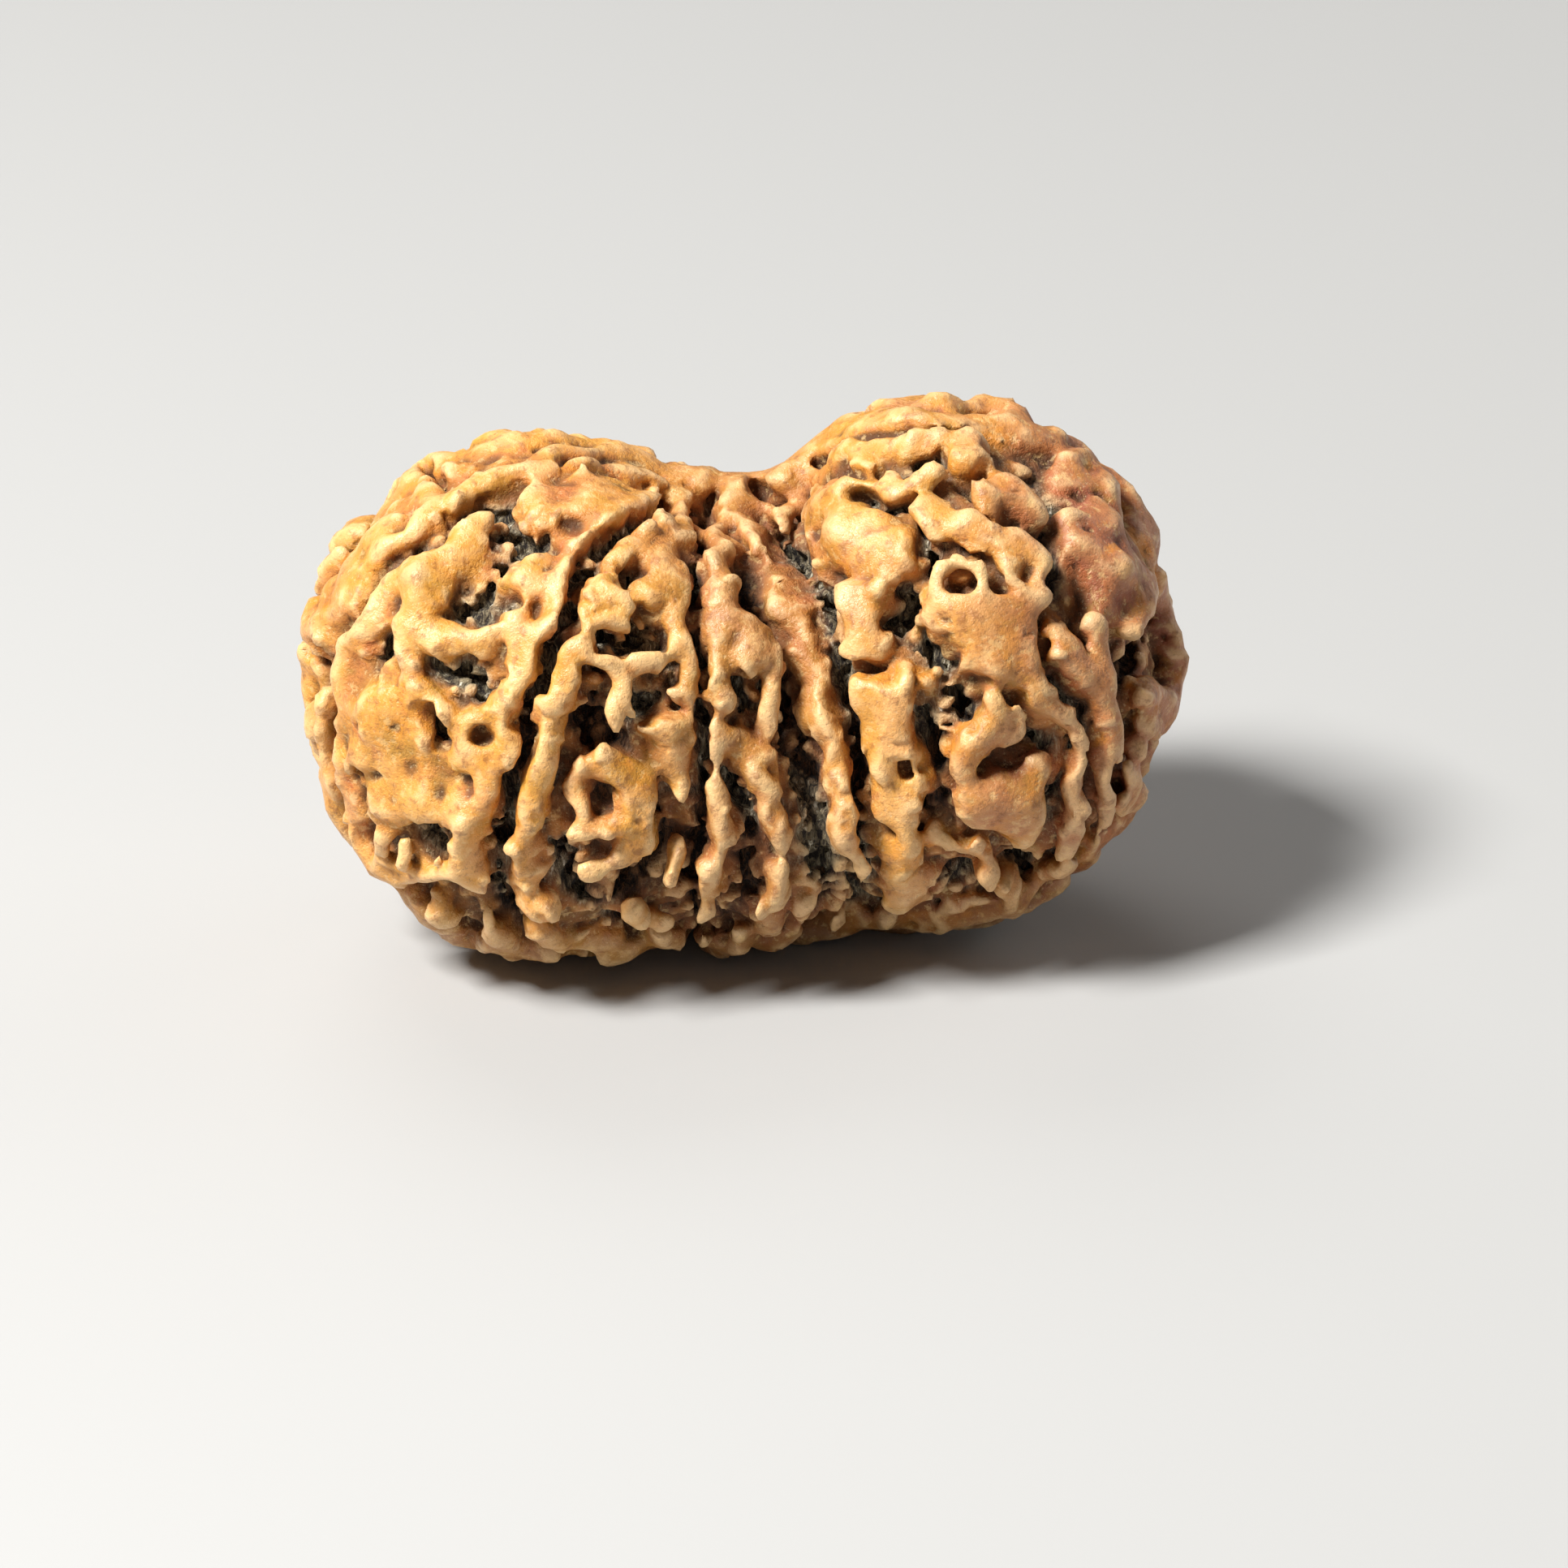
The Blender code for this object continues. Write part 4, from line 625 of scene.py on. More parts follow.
def seen(points):
    """How squarely the body faces the front view at each point."""
    ahead = view_axes()[2]
    return -(outward(points) * ahead).sum(axis=-1)


def spaced(path, gap):
    """The same path with points no further apart than gap."""
    pieces = []
    for start, end in zip(path[:-1], path[1:]):
        count = max(1, int(np.ceil(np.linalg.norm(end - start) / gap)))
        pieces.append(start + (end - start) * (np.arange(count) / count)[:, None])
    return np.concatenate(pieces + [path[-1:]])


def random_heights(spacing, chance):
    """Random numbers on a lattice this coarse, which covers the whole grid."""
    size = [int((high - low) / spacing) + 3 for low, high in zip(GRID_LOW, GRID_HIGH)]
    return chance.standard_normal(size)


def eased(share):
    return share * share * (3.0 - 2.0 * share)


def cloud(lines, spacing, chance):
    """Smooth random heights over the grid, with hills this far apart."""
    heights = random_heights(spacing, chance)
    for axis, line in enumerate(lines):
        place = (line - GRID_LOW[axis]) / spacing
        first = place.astype(int)
        share = eased(place - first)
        blend = np.zeros((len(line), heights.shape[axis]))
        blend[np.arange(len(line)), first] = 1.0 - share
        blend[np.arange(len(line)), first + 1] += share
        heights = np.moveaxis(np.tensordot(blend, heights, (1, axis)), 0, axis)
    return heights.astype(np.float32)


class Clay:
    """A block of space sampled on a grid. Below zero is inside the bead."""

    def __init__(self, chance):
        self.lines = [np.arange(low, high, STEP, dtype=np.float32) for low, high in zip(GRID_LOW, GRID_HIGH)]
        self.low = np.array(GRID_LOW)
        self.points = np.stack(np.meshgrid(*self.lines, indexing="ij"), axis=-1)
        self.height = self.points[..., 2].copy()
        self.bend(UNEVEN, chance)
        self.value = body(self.points).astype(np.float32)
        self.level = self.value.copy()
        self.bend(ROUGHNESS, np.random.default_rng(ROUGHNESS_SEED))
        self.scratch = np.full(self.value.shape, FAR, dtype=np.float32)

    def bend(self, shifts, chance):
        """Bends the space, so that what is worked in it afterwards comes out uneven."""
        for spacing, shift in shifts:
            for axis in range(3):
                self.points[..., axis] += shift * cloud(self.lines, spacing, chance)

    def window(self, least, most):
        """The part of the grid between two corners."""
        start = np.maximum(((least - self.low) / STEP).astype(int), 0)
        end = np.minimum(((most - self.low) / STEP).astype(int) + 2, self.value.shape)
        return tuple(slice(a, b) for a, b in zip(start, end))

    def work(self, path, radii, blend, is_cut):
        """Raises or cuts one rounded stroke along a path."""
        reach = blend + 2.0 * STEP
        if len(path) == 1:
            path = np.concatenate((path, path + 1e-3))
            radii = np.concatenate((radii, radii))
        for start, end, start_radius, end_radius in zip(path[:-1], path[1:], radii[:-1], radii[1:]):
            edge = max(start_radius, end_radius) + reach + STRAY
            here = self.window(np.minimum(start, end) - edge, np.maximum(start, end) + edge)
            offset = self.points[here] - start
            line = end - start
            share = np.clip((offset @ line) / max(line @ line, 1e-9), 0.0, 1.0)
            distance = np.linalg.norm(offset - share[..., None] * line, axis=-1)
            distance = distance - start_radius - (end_radius - start_radius) * share
            self.scratch[here] = np.minimum(self.scratch[here], distance)
        edge = radii.max() + reach + STRAY
        whole = self.window(path.min(axis=0) - edge, path.max(axis=0) + edge)
        sign = -1.0 if is_cut else 1.0
        self.value[whole] = sign * smooth_least(sign * self.value[whole], self.scratch[whole], blend)
        self.scratch[whole] = FAR

    def raise_ridge(self, path, width, rise, chance):
        """Raises a beaded ridge of this width to this height over the path."""
        path = spaced(path, PATH_GAP)
        width = width + GROWTH
        beads = 1.0 + BEADING * chance.standard_normal(len(path))
        if len(path) > 3:
            beads[0] *= END_TAPER
            beads[-1] *= END_TAPER
        radii = 0.5 * width * beads
        sink = rise - radii
        blend = min(RIDGE_BLEND, RIDGE_BLEND_SHARE * width)
        self.work(path + outward(path) * sink[:, None], radii, blend, False)

    def cut_groove(self, path, width, depth, top=0.0):
        """Cuts a round-bottomed groove to this depth under the path, open up to top over it."""
        path = spaced(path, PATH_GAP)
        away = outward(path)
        radius = 0.5 * width
        for level in np.append(np.arange(radius - depth, top, 1.3 * radius), top):
            radii = np.full(len(path), radius * (1.0 + GROOVE_FLARE * max(level, 0.0)))
            self.work(path + away * level, radii, GROOVE_BLEND, True)


def under_cleft(front):
    """Carries a front cleft on along its meridian, over the underside to the lower pole."""
    offset = front[-1] - np.array(MIDDLE)
    direction = np.degrees(np.arctan2(offset[1], offset[0]))
    angle = np.degrees(np.arccos(offset[2] / np.linalg.norm(offset)))
    return from_pole(direction, np.arange(angle + 5.0, 176.0, 5.0), 0.0)


def front_features(clay, chance):
    """All that the picture shows: grooves first, then what stands between, then fine pits."""
    clefts = []
    for width, depth, *path in CLEFTS.values():
        front = on_front(path)
        under = under_cleft(front)
        whole = np.concatenate((front, under))
        clay.cut_groove(whole, width, depth)
        add_rims(clay, under, chance)
        clefts.append((whole, width, depth))
    for width, depth, *path in HOLLOWS.values():
        clay.cut_groove(on_front(path), width, depth)
    for width, rise, *path in RIDGES.values():
        clay.raise_ridge(on_front(path), width, rise, chance)
    skin = np.random.default_rng(SKIN_SEED)
    for width, rise, *path in SHEETS.values():
        clay.raise_ridge(on_front(path), width, rise, skin)
    for whole, width, depth in clefts:
        clay.cut_groove(whole, REOPENING * width, depth, REOPENED_TOP)
    for width, depth, *path in PITS.values():
        clay.cut_groove(from_view(path, 2.0 * HALF_RISE), width, depth)


def resting_pads(clay, chance):
    for width, rise, *ends in RESTING_PADS.values():
        below = np.array([(x, y, 0.0) for x, y in ends])
        clay.raise_ridge(lay_on(below, 0.0), width, rise, chance)


def add_rims(clay, cleft, chance):
    """A wavy ridge on each side of a cleft, broken into short runs."""
    if len(cleft) < 3:
        return
    away = unit(np.cross(np.gradient(cleft, axis=0), outward(cleft)))
    for side in (-1.0, 1.0):
        phase = np.arange(len(cleft)) * chance.uniform(0.7, 1.3) + chance.uniform(0.0, 6.0)
        offset = RIM_OFFSET + RIM_WAVE * np.sin(phase)
        rim = lay_on(cleft + side * away * offset[:, None], 0.0)
        breaks = chance.choice(np.arange(2, len(rim)), len(rim) // 7, False)
        for run in np.split(np.arange(len(rim)), np.sort(breaks)):
            if len(run) > 1:
                width = RIM_WIDTH * chance.uniform(0.75, 1.2)
                clay.raise_ridge(rim[run], width, RIM_RISE * chance.uniform(0.85, 1.1), chance)


def rear_features(clay, chance):
    """Meridian clefts over the back, the ends and the underside, with what grows between them."""
    grooves = []
    for number, direction in enumerate(REAR_CLEFTS):
        angles = np.arange(9.0, 175.0 if number % 2 else 151.0, 4.0)
        bend = direction + 3.5 * np.sin(np.radians(angles * 2.0 + chance.uniform(0.0, 360.0)))
        line = np.concatenate([from_pole(turn, [angle], 0.0) for turn, angle in zip(bend, angles)])
        line = line[(seen(line) < REAR_SEEN) | (line[:, 2] < 3.0)]
        grooves.append(line)
    for direction in UNDER_CLEFTS:
        line = from_pole(direction, np.arange(128.0, 175.0, 4.0), 0.0)
        grooves.append(line[seen(line) < UNDER_SEEN])
    grooves = [line for line in grooves if len(line) > 3]
    widths = chance.uniform(0.65, 0.95, len(grooves))
    for line, width in zip(grooves, widths):
        clay.cut_groove(line, width, DEPTH_PER_WIDTH * width)
    tissue(clay, np.concatenate(grooves), chance)
    for line in grooves:
        add_rims(clay, line, chance)
    for line, width in zip(grooves, widths):
        clay.cut_groove(line, REOPENING * width, DEPTH_PER_WIDTH * width, REOPENED_TOP)


def tissue(clay, clefts, chance):
    """Knobs, short worms and hollows that fill the fields between the rear clefts."""
    places = chance.uniform(GRID_LOW, GRID_HIGH, (WORM_TRIES, 3))
    places = lay_on(places[np.abs(body(places)) < 2.5], 0.0)
    places = places[seen(places) < TISSUE_SEEN]
    kept = []
    for place in places:
        clear = not kept or np.linalg.norm(np.array(kept) - place, axis=1).min() > WORM_SPACING
        if clear and np.linalg.norm(clefts - place, axis=1).min() > CLEFT_CLEARANCE:
            kept.append(place)
    for number, place in enumerate(kept):
        path = worm(place, chance)
        if number % 5 == 0:
            clay.cut_groove(path[:3], chance.uniform(0.9, 1.4), chance.uniform(0.7, 1.1))
        elif number % 5 == 1:
            clay.raise_ridge(path[:2], chance.uniform(1.7, 2.5), chance.uniform(1.0, 1.4), chance)
        else:
            clay.raise_ridge(path, chance.uniform(0.8, 1.4), chance.uniform(0.8, 1.3), chance)


def worm(place, chance):
    """A short path over the body from this place, which sets off more or less toward the pole."""
    toward_pole = np.array((POLE_X, 0.0, UPPER_POLE_Z)) - place
    normal = outward(place[None])[0]
    along = unit(toward_pole - normal * (toward_pole @ normal))
    across = np.cross(normal, along)
    turn = chance.normal(0.0, 0.7)
    path = [place]
    for _ in range(chance.integers(1, 5)):
        turn += chance.normal(0.0, 0.45)
        step = (along * np.cos(turn) + across * np.sin(turn)) * 0.75
        path.append(lay_on((path[-1] + step)[None], 0.0)[0])
    return np.array(path)


def softened(value, passes):
    """Evens the field out over this many passes, each about one grid step wide."""
    for _ in range(passes):
        for axis in range(3):
            value = 0.25 * np.roll(value, 1, axis) + 0.5 * value + 0.25 * np.roll(value, -1, axis)
    return value


def cells_of(size, corner):
    """The part of a grid of this size that holds this corner of every cell."""
    return tuple(slice(start, count - 1 + start) for start, count in zip(corner, size))


def unpinch(inside):
    """Fills the few grid corners where the surface would touch itself along an edge or at a point."""
    size = inside.shape
    for _ in range(30):
        found = 0
        for first, second in ((0, 1), (0, 2), (1, 2)):
            four = []
            for a, b in ((0, 0), (0, 1), (1, 0), (1, 1)):
                part = [slice(None)] * 3
                part[first] = slice(a, size[first] - 1 + a)
                part[second] = slice(b, size[second] - 1 + b)
                four.append(inside[tuple(part)])
            falling = four[0] & four[3] & ~four[1] & ~four[2]
            rising = four[1] & four[2] & ~four[0] & ~four[3]
            found += int(falling.sum() + rising.sum())
            four[1][falling] = True
            four[0][rising] = True
        eight = {corner: inside[cells_of(size, corner)] for corner in CORNERS}
        total = sum(part.astype(np.int8) for part in eight.values())
        for a, b, c in CORNERS[:4]:
            one = eight[a, b, c]
            other = eight[1 - a, 1 - b, 1 - c]
            lonely = one & other & (total == 2)
            one[lonely] = False
            holed = ~one & ~other & (total == 6)
            one[holed] = True
            found += int(lonely.sum() + holed.sum())
        if not found:
            break
    return inside


def surface_of(value, low):
    """Lays a mesh of four-sided faces over the grid's zero level, one vertex to a crossed cell."""
    inside = unpinch(value < 0.0)
    value = np.where(inside, np.minimum(value, -1e-3), np.maximum(value, 1e-3))
    count = sum(inside[cells_of(value.shape, corner)].astype(np.int8) for corner in CORNERS)
    cells = np.argwhere((count > 0) & (count < 8))
    number = np.full(count.shape, -1, dtype=np.int64)
    number[tuple(cells.T)] = np.arange(len(cells))
    return low + STEP * (cells + crossings_middle(value, cells)), faces_between(inside, number)


def crossings_middle(value, cells):
    """The mean of the places where the surface crosses each cell's edges, from the cell's corner."""
    total = np.zeros((len(cells), 3))
    crossings = np.zeros(len(cells))
    for axis in range(3):
        for corner in CORNERS:
            if corner[axis] == 1:
                continue
            start = np.array(corner)
            end = start.copy()
            end[axis] = 1
            first = value[tuple((cells + start).T)]
            second = value[tuple((cells + end).T)]
            crossed = (first < 0.0) != (second < 0.0)
            share = np.where(crossed, first / np.where(crossed, first - second, 1.0), 0.0)
            total[crossed] += (start + (end - start) * share[:, None])[crossed]
            crossings += crossed
    return total / crossings[:, None]


def faces_between(inside, number):
    """A face for each grid edge that the surface crosses, through the four cells around it."""
    faces = []
    for axis in range(3):
        side, other = (axis + 1) % 3, (axis + 2) % 3
        here = [slice(1, size - 1) for size in inside.shape]
        here[axis] = slice(0, inside.shape[axis] - 1)
        ahead = list(here)
        ahead[axis] = slice(1, inside.shape[axis])
        leaving = inside[tuple(here)] & ~inside[tuple(ahead)]
        entering = ~inside[tuple(here)] & inside[tuple(ahead)]
        for crossed, order in ((leaving, 1), (entering, -1)):
            edge = np.argwhere(crossed)
            edge[:, side] += 1
            edge[:, other] += 1
            ring = []
            for back_side, back_other in ((1, 1), (0, 1), (0, 0), (1, 0))[::order]:
                cell = edge.copy()
                cell[:, side] -= back_side
                cell[:, other] -= back_other
                ring.append(number[tuple(cell.T)])
            faces.append(np.stack(ring, axis=-1))
    return np.concatenate(faces)


def largest_piece(vertices, faces):
    """Drops any crumb or sealed bubble, and keeps the one outer surface."""
    label = np.arange(len(vertices))
    while True:
        least = label[faces].min(axis=1)
        fresh = label.copy()
        for column in range(4):
            np.minimum.at(fresh, faces[:, column], least)
        fresh = fresh[fresh]
        if (fresh == label).all():
            break
        label = fresh
    names, sizes = np.unique(label, return_counts=True)
    keep = label == names[sizes.argmax()]
    place = np.cumsum(keep) - 1
    return vertices[keep], place[faces[keep[faces[:, 0]]]]


def at_corners(grid, first, share):
    """The grid's value this share of a cell beyond each first grid point, along each axis."""
    total = np.zeros(len(first))
    for a, b, c in CORNERS:
        weight = np.abs(1 - a - share[:, 0]) * np.abs(1 - b - share[:, 1]) * np.abs(1 - c - share[:, 2])
        total += weight * grid[first[:, 0] + a, first[:, 1] + b, first[:, 2] + c]
    return total


def read_grid(grid, points):
    """The grid's value at any point, from the eight grid points around it."""
    place = (points - np.array(GRID_LOW)) / STEP
    first = np.clip(place.astype(int), 0, np.array(grid.shape) - 2)
    return at_corners(grid, first, place - first)


def lattice_noise(points, spacing, chance):
    """Smooth random heights at points, with hills this far apart."""
    heights = random_heights(spacing, chance)
    place = (points - np.array(GRID_LOW)) / spacing
    first = place.astype(int)
    return at_corners(heights, first, eased(place - first))


def creep(clay, places, count, stride, chance):
    """Paths that crawl over the surface from these places, count steps of this stride."""
    places = places.copy()
    heading = chance.standard_normal(places.shape)
    trail = []
    for _ in range(count):
        for _ in range(2):
            slope = slope_at(clay.value, places)
            places = places - slope * np.clip(read_grid(clay.value, places), -0.2, 0.2)[:, None]
        trail.append(places)
        heading = heading + STRAND_TURN * chance.standard_normal(places.shape)
        heading = unit(heading - slope * (heading * slope).sum(axis=-1, keepdims=True))
        places = places + heading * stride
    return np.stack(trail, axis=1)


def slope_at(grid, places):
    """The direction in which the grid's value rises, at each place."""
    slope = []
    for step in np.eye(3) * STEP:
        slope.append(read_grid(grid, places + step) - read_grid(grid, places - step))
    return unit(np.stack(slope, axis=-1) + 1e-9)


def strands(clay, chance):
    """Fine wrinkles, strings and scratches that follow the surface."""
    for amount, count, stride, least, most, is_cut, highest in STRANDS:
        near = np.argwhere((np.abs(clay.value) < 0.5 * STEP) & (clay.level < highest))
        start = near[chance.choice(len(near), amount, replace=False)] * STEP + clay.low
        trails = creep(clay, start, count, stride, chance)
        flat = trails.reshape(-1, 3)
        bent = np.stack([read_grid(clay.points[..., axis], flat) for axis in range(3)], -1)
        for path in bent.reshape(trails.shape):
            radius = chance.uniform(least, most)
            clay.work(path, radius * chance.uniform(0.8, 1.2, len(path)), STRAND_BLEND, is_cut)


def fill_floors(clay, chance):
    """Fibre and dried pulp fill the clefts to a rough floor, and the hollows stay open."""
    floor = FLOOR_DEPTH + FLOOR_WAVE * cloud(clay.lines, FLOOR_SPACING, chance)
    clay.value = smooth_least(clay.value, clay.level + floor, FLOOR_BLEND)
    for width, depth, *path in HOLLOWS.values():
        clay.cut_groove(on_front(path), REOPENING * width, depth, RIM_RISE)


def swell_and_wear(clay, chance):
    """The surface swells unevenly, and the highest tops are worn down."""
    for spacing, lift in LUMPS:
        clay.value += lift * cloud(clay.lines, spacing, chance)
    worn = clay.level - WORN_LEVEL - WORN_WAVE * cloud(clay.lines, WORN_SPACING, chance)
    clay.value = -smooth_least(-clay.value, -worn, WORN_BLEND)


def litter(clay, chance):
    """Crumbs of dried pulp, caught on the floors of the clefts and hollows."""
    low = np.argwhere((clay.value > 0.0) & (clay.value < STEP) & (clay.level < CRUMB_LEVEL))
    low = low[chance.choice(len(low), CRUMBS, replace=False)]
    for place in clay.points[tuple(low.T)].astype(float):
        clay.work(place[None], np.array([chance.uniform(*CRUMB_RADII)]), CRUMB_BLEND, False)


def thinned(vertices, faces):
    """A new object with this surface, brought down to about the number of triangles set above."""
    mesh = bpy.data.meshes.new("bead_surface")
    mesh.from_pydata(vertices.tolist(), [], faces.tolist())
    bead = bpy.data.objects.new("bead_surface", mesh)
    bpy.context.collection.objects.link(bead)
    thinning = bead.modifiers.new("thinning", "DECIMATE")
    thinning.ratio = min(1.0, TRIANGLES / (2.0 * len(faces)))
    bpy.context.view_layer.update()
    thin = bpy.data.meshes.new_from_object(bead.evaluated_get(bpy.context.evaluated_depsgraph_get()))
    bead.modifiers.remove(thinning)
    bead.data = thin
    return bead


def vertex_values(mesh, name):
    values = np.empty(len(mesh.vertices) * 3)
    mesh.vertices.foreach_get(name, values)
    return values.reshape(-1, 3)


def grained(places, normals, height, chance):
    """The places moved in and out by fine grain, which is stronger down in the clefts."""
    low = np.clip(0.35 - 0.9 * height, 0.0, 1.0)
    for spacing, raised, sunk in GRAIN:
        push = lattice_noise(places, spacing, chance) * (raised + (sunk - raised) * low)
        push = np.where(places[:, 2] < FOOT_CUT + STEP, np.minimum(push, 0.0), push)
        places = places + normals * push[:, None]
    places[:, 2] = np.maximum(places[:, 2], FOOT_CUT)
    return places


def fine_bead():
    """The bead's surface with its fine grain, and how far each point stands out of the body."""
    chance = np.random.default_rng(SEED)
    clay = Clay(chance)
    rear_features(clay, chance)
    front_features(clay, chance)
    resting_pads(clay, chance)
    clay.value = softened(clay.value, 1)
    fine = np.random.default_rng(FINE_SEED)
    fill_floors(clay, fine)
    swell_and_wear(clay, fine)
    strands(clay, fine)
    litter(clay, fine)
    bead = thinned(*largest_piece(*surface_of(np.maximum(clay.value, FOOT_CUT - clay.height), clay.low)))
    places = vertex_values(bead.data, "co")
    near = softened(np.clip(clay.value, -FIELD_LIMIT, FIELD_LIMIT), BULGE_PASSES)
    wide = softened(near, SWELL_PASSES)
    known = {name: read_grid(grid, places)
             for name, grid in (("height", clay.level), ("bulge", near), ("swell", wide))}
    places = grained(places, vertex_values(bead.data, "normal"), known["height"], chance)
    places = (places - np.array((*CENTRE_SHIFT, FOOT_CUT))) * MILLIMETRE
    bead.data.vertices.foreach_set("co", places.ravel())
    for name, data in known.items():
        layer = bead.data.attributes.new(name, "FLOAT", "POINT")
        layer.data.foreach_set("value", data.astype(np.float32))
    bead.data.shade_smooth()
    bead.data.update()
    return bead


def srgb(text):
    """A colour from its six hexadecimal digits, in the renderer's linear values."""
    channels = [int(text[i:i + 2], 16) / 255.0 for i in (0, 2, 4)]
    return tuple(c / 12.92 if c <= 0.04045 else ((c + 0.055) / 1.055) ** 2.4 for c in channels) + (1.0,)


class Nodes:
    """Short names for the nodes of one material."""

    def __init__(self, material):
        material.use_nodes = True
        self.tree = material.node_tree
        self.shader = self.tree.nodes["Principled BSDF"]

    def join(self, value, socket):
        """Sets the socket to a value, or links it. A text of six digits stands for its colour."""
        if isinstance(value, str):
            value = srgb(value)
        if isinstance(value, (float, tuple)):
            socket.default_value = value
        else:
            self.tree.links.new(value, socket)

    def attribute(self, name):
        node = self.tree.nodes.new("ShaderNodeAttribute")
        node.attribute_name = name
        return node.outputs["Fac"]

    def place(self, scale=(1.0, 1.0, 1.0)):
        node = self.tree.nodes.new("ShaderNodeTexCoord")
        mapping = self.tree.nodes.new("ShaderNodeMapping")
        mapping.inputs["Scale"].default_value = scale
        self.tree.links.new(node.outputs["Object"], mapping.inputs["Vector"])
        return mapping.outputs["Vector"]

    def noise(self, vector, *numbers):
        node = self.tree.nodes.new("ShaderNodeTexNoise")
        self.join(vector, node.inputs["Vector"])
        for name, number in zip(("Scale", "Detail", "Roughness", "Distortion"), numbers):
            node.inputs[name].default_value = number
        return node.outputs["Fac"]

    def between(self, value, low, high, start=0.0, end=1.0):
        """Maps low..high smoothly onto start..end."""
        node = self.tree.nodes.new("ShaderNodeMapRange")
        node.interpolation_type = "SMOOTHSTEP"
        self.join(value, node.inputs["Value"])
        for name, number in (("From Min", low), ("From Max", high), ("To Min", start), ("To Max", end)):
            node.inputs[name].default_value = number
        return node.outputs["Result"]

    def math(self, operation, first, second=0.0):
        node = self.tree.nodes.new("ShaderNodeMath")
        node.operation = operation
        self.join(first, node.inputs[0])
        self.join(second, node.inputs[1])
        return node.outputs["Value"]

    def add(self, first, second):
        return self.math("ADD", first, second)

    def times(self, first, second):
        return self.math("MULTIPLY", first, second)

    def mix(self, share, first, second):
        node = self.tree.nodes.new("ShaderNodeMix")
        node.data_type = "RGBA"
        self.join(share, node.inputs["Factor"])
        self.join(first, node.inputs[6])
        self.join(second, node.inputs[7])
        return node.outputs[2]

    def layered(self, colour, layers, known):
        """The colour with each layer of a table mixed over it in turn."""
        for steer, low, high, start, end, over in layers:
            colour = self.mix(self.between(known[steer], low, high, start, end), colour, over)
        return colour


def what_steers(n):
    """What the wood depends on: noise, place in metres, and how far each point stands out."""
    here = n.place()
    split = n.tree.nodes.new("ShaderNodeSeparateXYZ")
    n.join(here, split.inputs[0])
    known = {name: n.noise(here, *numbers) for name, numbers in PATTERNS.items()}
    known["fibres"] = n.noise(n.place(FIBRE_STRETCH), *FIBRES)
    for name in ("height", "bulge", "swell"):
        known[name] = n.attribute(name)
    top = n.add(n.times(known["swell"], 2.0), n.times(known["height"], 0.45))
    # how high a point stands: it steers the painted crest highlight, the painted flank shade and the
    # roughness
    known["top"] = n.add(top, n.times(known["mottle"], 0.22))
    # crest: where the painted gold highlight lies
    known["crest"] = n.between(known["top"], 0.42, 0.90)
    # edge: steers the painted highlight on edges and the painted shade in dips
    known["edge"] = n.add(known["bulge"], n.times(known["specks"], 0.05))
    across = n.add(split.outputs["X"], n.times(known["patches"], 0.016))
    known["right"] = n.between(across, 0.010, 0.024)
    # mask for the painted shade at the waist
    known["off waist"] = n.math("ABSOLUTE", n.add(split.outputs["X"], 0.0004))
    # height, for the painted shade towards the underside
    known["upward"] = n.add(split.outputs["Z"], n.times(known["patches"], 0.003))
    # upper and lower floors; the darker lower floors are partly painted shade
    lift = n.times(n.math("SUBTRACT", split.outputs["Z"], 0.0105), 14.0)
    known["upper"] = n.between(n.add(known["kinds"], lift), 0.45, 0.54)
    sunk = n.add(known["height"], n.times(known["blotches"], 0.7))
    known["depth"] = n.between(sunk, 0.05, 0.62, 1.0, 0.0)
    return known


def wood_colour(n, known):
    """Ochre wood, redder at the right, with gold crests and pale edges painted as highlight, and brown
    flanks painted as shade.
    """
    patchy = n.between(known["patches"], 0.40, 0.60)
    colour = n.mix(known["right"], n.mix(patchy, *OCHRE), n.mix(patchy, *RED))
    colour = n.layered(colour, PATCH_LAYERS, known)
    # painted highlight: gold on the crests, redder gold at the right
    gold = n.mix(n.between(known["blotches"], 0.42, 0.60), *GOLD_HIGHLIGHT)
    gold = n.mix(known["right"], gold, RED_GOLD_HIGHLIGHT)
    share = n.times(known["crest"], n.between(known["amber"], 0.45, 0.62, 0.78, 0.40))
    return n.layered(n.mix(share, colour, gold), PAINTED_LIGHT_AND_MOTTLE_LAYERS, known)


def floor_colour(n, known):
    """Grey fibre in the upper clefts, dark brown in the lower ones, with paler crumbs; the darker brown and
    the darker crumbs lower down are partly painted shade.
    """
    grey = n.mix(n.between(known["fibres"], 0.40, 0.60), *GREY_FIBRE)
    grey = n.mix(n.between(known["fibres"], 0.57, 0.70), grey, PALE_FIBRE)
    brown = n.mix(n.between(known["fibres"], 0.42, 0.70), *BROWN_FIBRE)
    crumb = n.mix(known["upper"], *CRUMB_COLOURS)
    return n.mix(n.between(known["bulge"], 0.03, 0.09, 0.0, 0.85), n.mix(known["upper"], brown, grey), crumb)


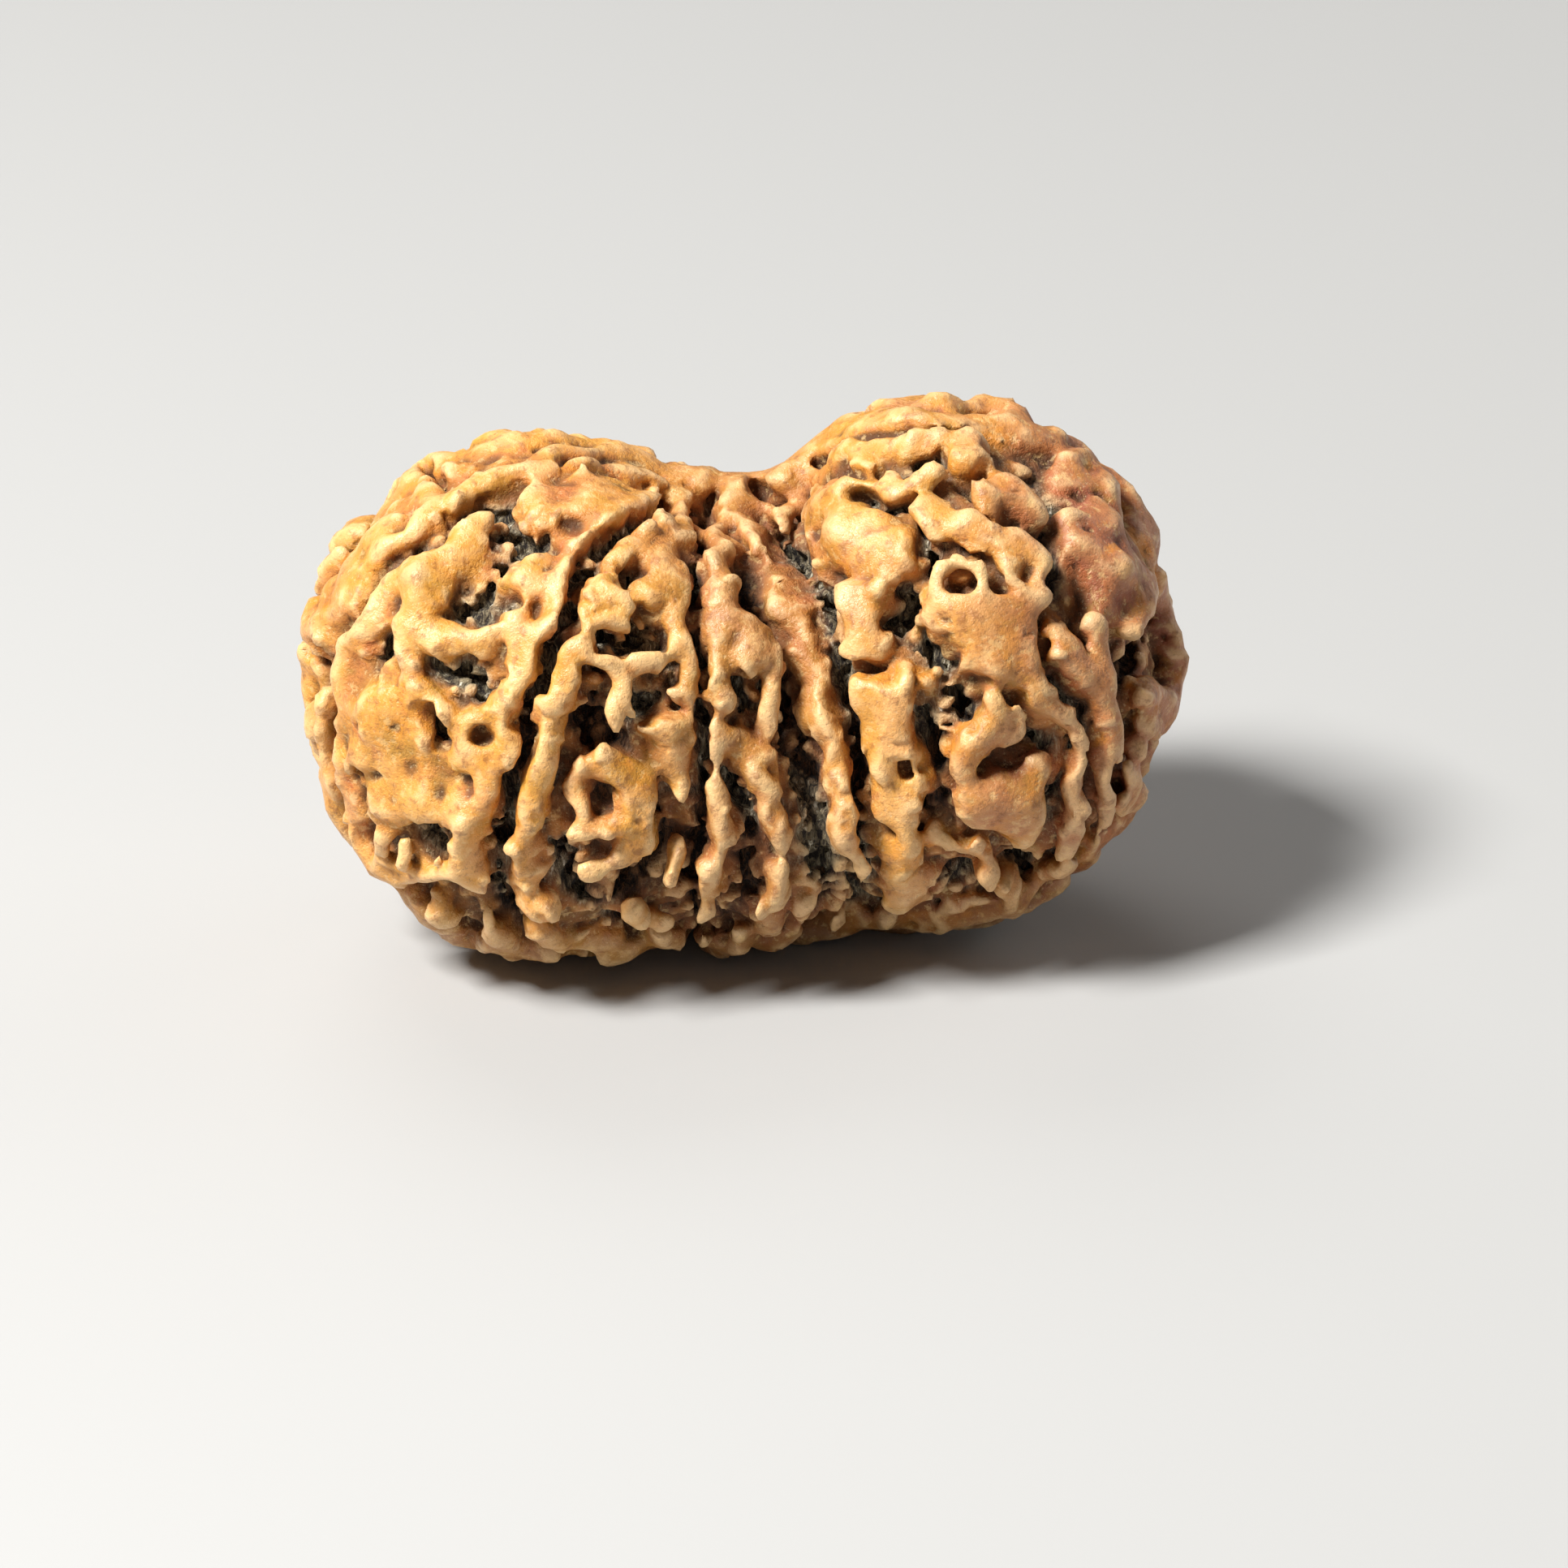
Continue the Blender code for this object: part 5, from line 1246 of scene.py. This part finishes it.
def wood():
    """Waxy ochre wood on the ridges, brown painted shade in the hollows, grey fibre on the cleft floors."""
    material = bpy.data.materials.new("bead_wood_fine")
    n = Nodes(material)
    known = what_steers(n)
    colour = n.mix(known["depth"], wood_colour(n, known), floor_colour(n, known))
    # near black painted shade in the deepest places
    n.join(n.layered(colour, DEEPEST_SHADE_LAYERS, known), n.shader.inputs["Base Color"])
    smooth = n.between(known["top"], 0.2, 0.8, 0.70, 0.36)
    rough = n.add(smooth, n.between(known["mottle"], 0.3, 0.7, -0.06, 0.14))
    n.join(n.math("MAXIMUM", rough, n.times(known["depth"], 0.94)), n.shader.inputs["Roughness"])
    n.shader.inputs["Specular IOR Level"].default_value = 0.5
    grain = n.add(n.times(known["specks"], 0.5), n.times(known["mottle"], 1.2))
    grain = n.times(grain, n.between(known["crest"], 0.0, 1.0, 1.0, 0.6))
    grain = n.add(grain, n.times(n.times(known["fibres"], known["depth"]), 3.0))
    bump = n.tree.nodes.new("ShaderNodeBump")
    bump.inputs["Strength"].default_value = BUMP_STRENGTH
    bump.inputs["Distance"].default_value = BUMP_DEPTH
    n.join(grain, bump.inputs["Height"])
    n.join(bump.outputs["Normal"], n.shader.inputs["Normal"])
    return material


def pale_floor():
    material = bpy.data.materials.new("pale_floor")
    material.use_nodes = True
    shader = material.node_tree.nodes["Principled BSDF"]
    shader.inputs["Base Color"].default_value = FLOOR_COLOUR
    shader.inputs["Roughness"].default_value = FLOOR_ROUGHNESS
    return material


def studio():
    """A plain pale floor, a soft key light from the upper left, and three weak lights."""
    bpy.ops.mesh.primitive_plane_add(size=3.0, location=(0.0, 0.6, 0.0))
    floor = bpy.context.object
    floor.name = "floor"
    floor.data.materials.append(pale_floor())
    for name, (place, size, power) in LIGHTS.items():
        light = bpy.data.objects.new(name, bpy.data.lights.new(name, "AREA"))
        light.data.size = size
        light.data.energy = power
        light.location = place
        light.rotation_euler = Matrix(look_along(np.array(LIT_PLACE) - np.array(place))).to_euler()
        bpy.context.collection.objects.link(light)
    world = bpy.data.worlds.new("studio")
    world.use_nodes = True
    world.node_tree.nodes["Background"].inputs["Color"].default_value = WORLD_COLOUR
    world.node_tree.nodes["Background"].inputs["Strength"].default_value = WORLD_STRENGTH
    bpy.context.scene.world = world
    bpy.context.scene.view_settings.view_transform = "Standard"


def look_along(direction):
    """Rotation whose -Z points along direction, with +Z of the world upward in the view."""
    back = -unit(np.asarray(direction, float))
    right = unit(np.cross((0.0, 0.0, 1.0), back))
    up = np.cross(back, right)
    return [[right[i], up[i], back[i]] for i in range(3)]


def camera():
    """The photographed view: about 26 degrees above the floor, a little left of square on."""
    ahead, eye = view_axes()[2:]
    shot = bpy.data.objects.new("camera", bpy.data.cameras.new("camera"))
    shot.data.sensor_width = SENSOR_WIDTH
    shot.data.lens = SENSOR_WIDTH * PICTURE_SCALE / (2.0 * PICTURE_MIDDLE)
    shot.data.clip_start = 0.01
    shot.location = (eye - np.array((*CENTRE_SHIFT, 0.0))) * MILLIMETRE
    shot.rotation_euler = Matrix(look_along(ahead)).to_euler()
    bpy.context.collection.objects.link(shot)
    bpy.context.scene.camera = shot


bead = fine_bead()
bead.data.materials.append(wood())
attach(bead, "root")
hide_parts("gauri_shankar_bead")
studio()
camera()
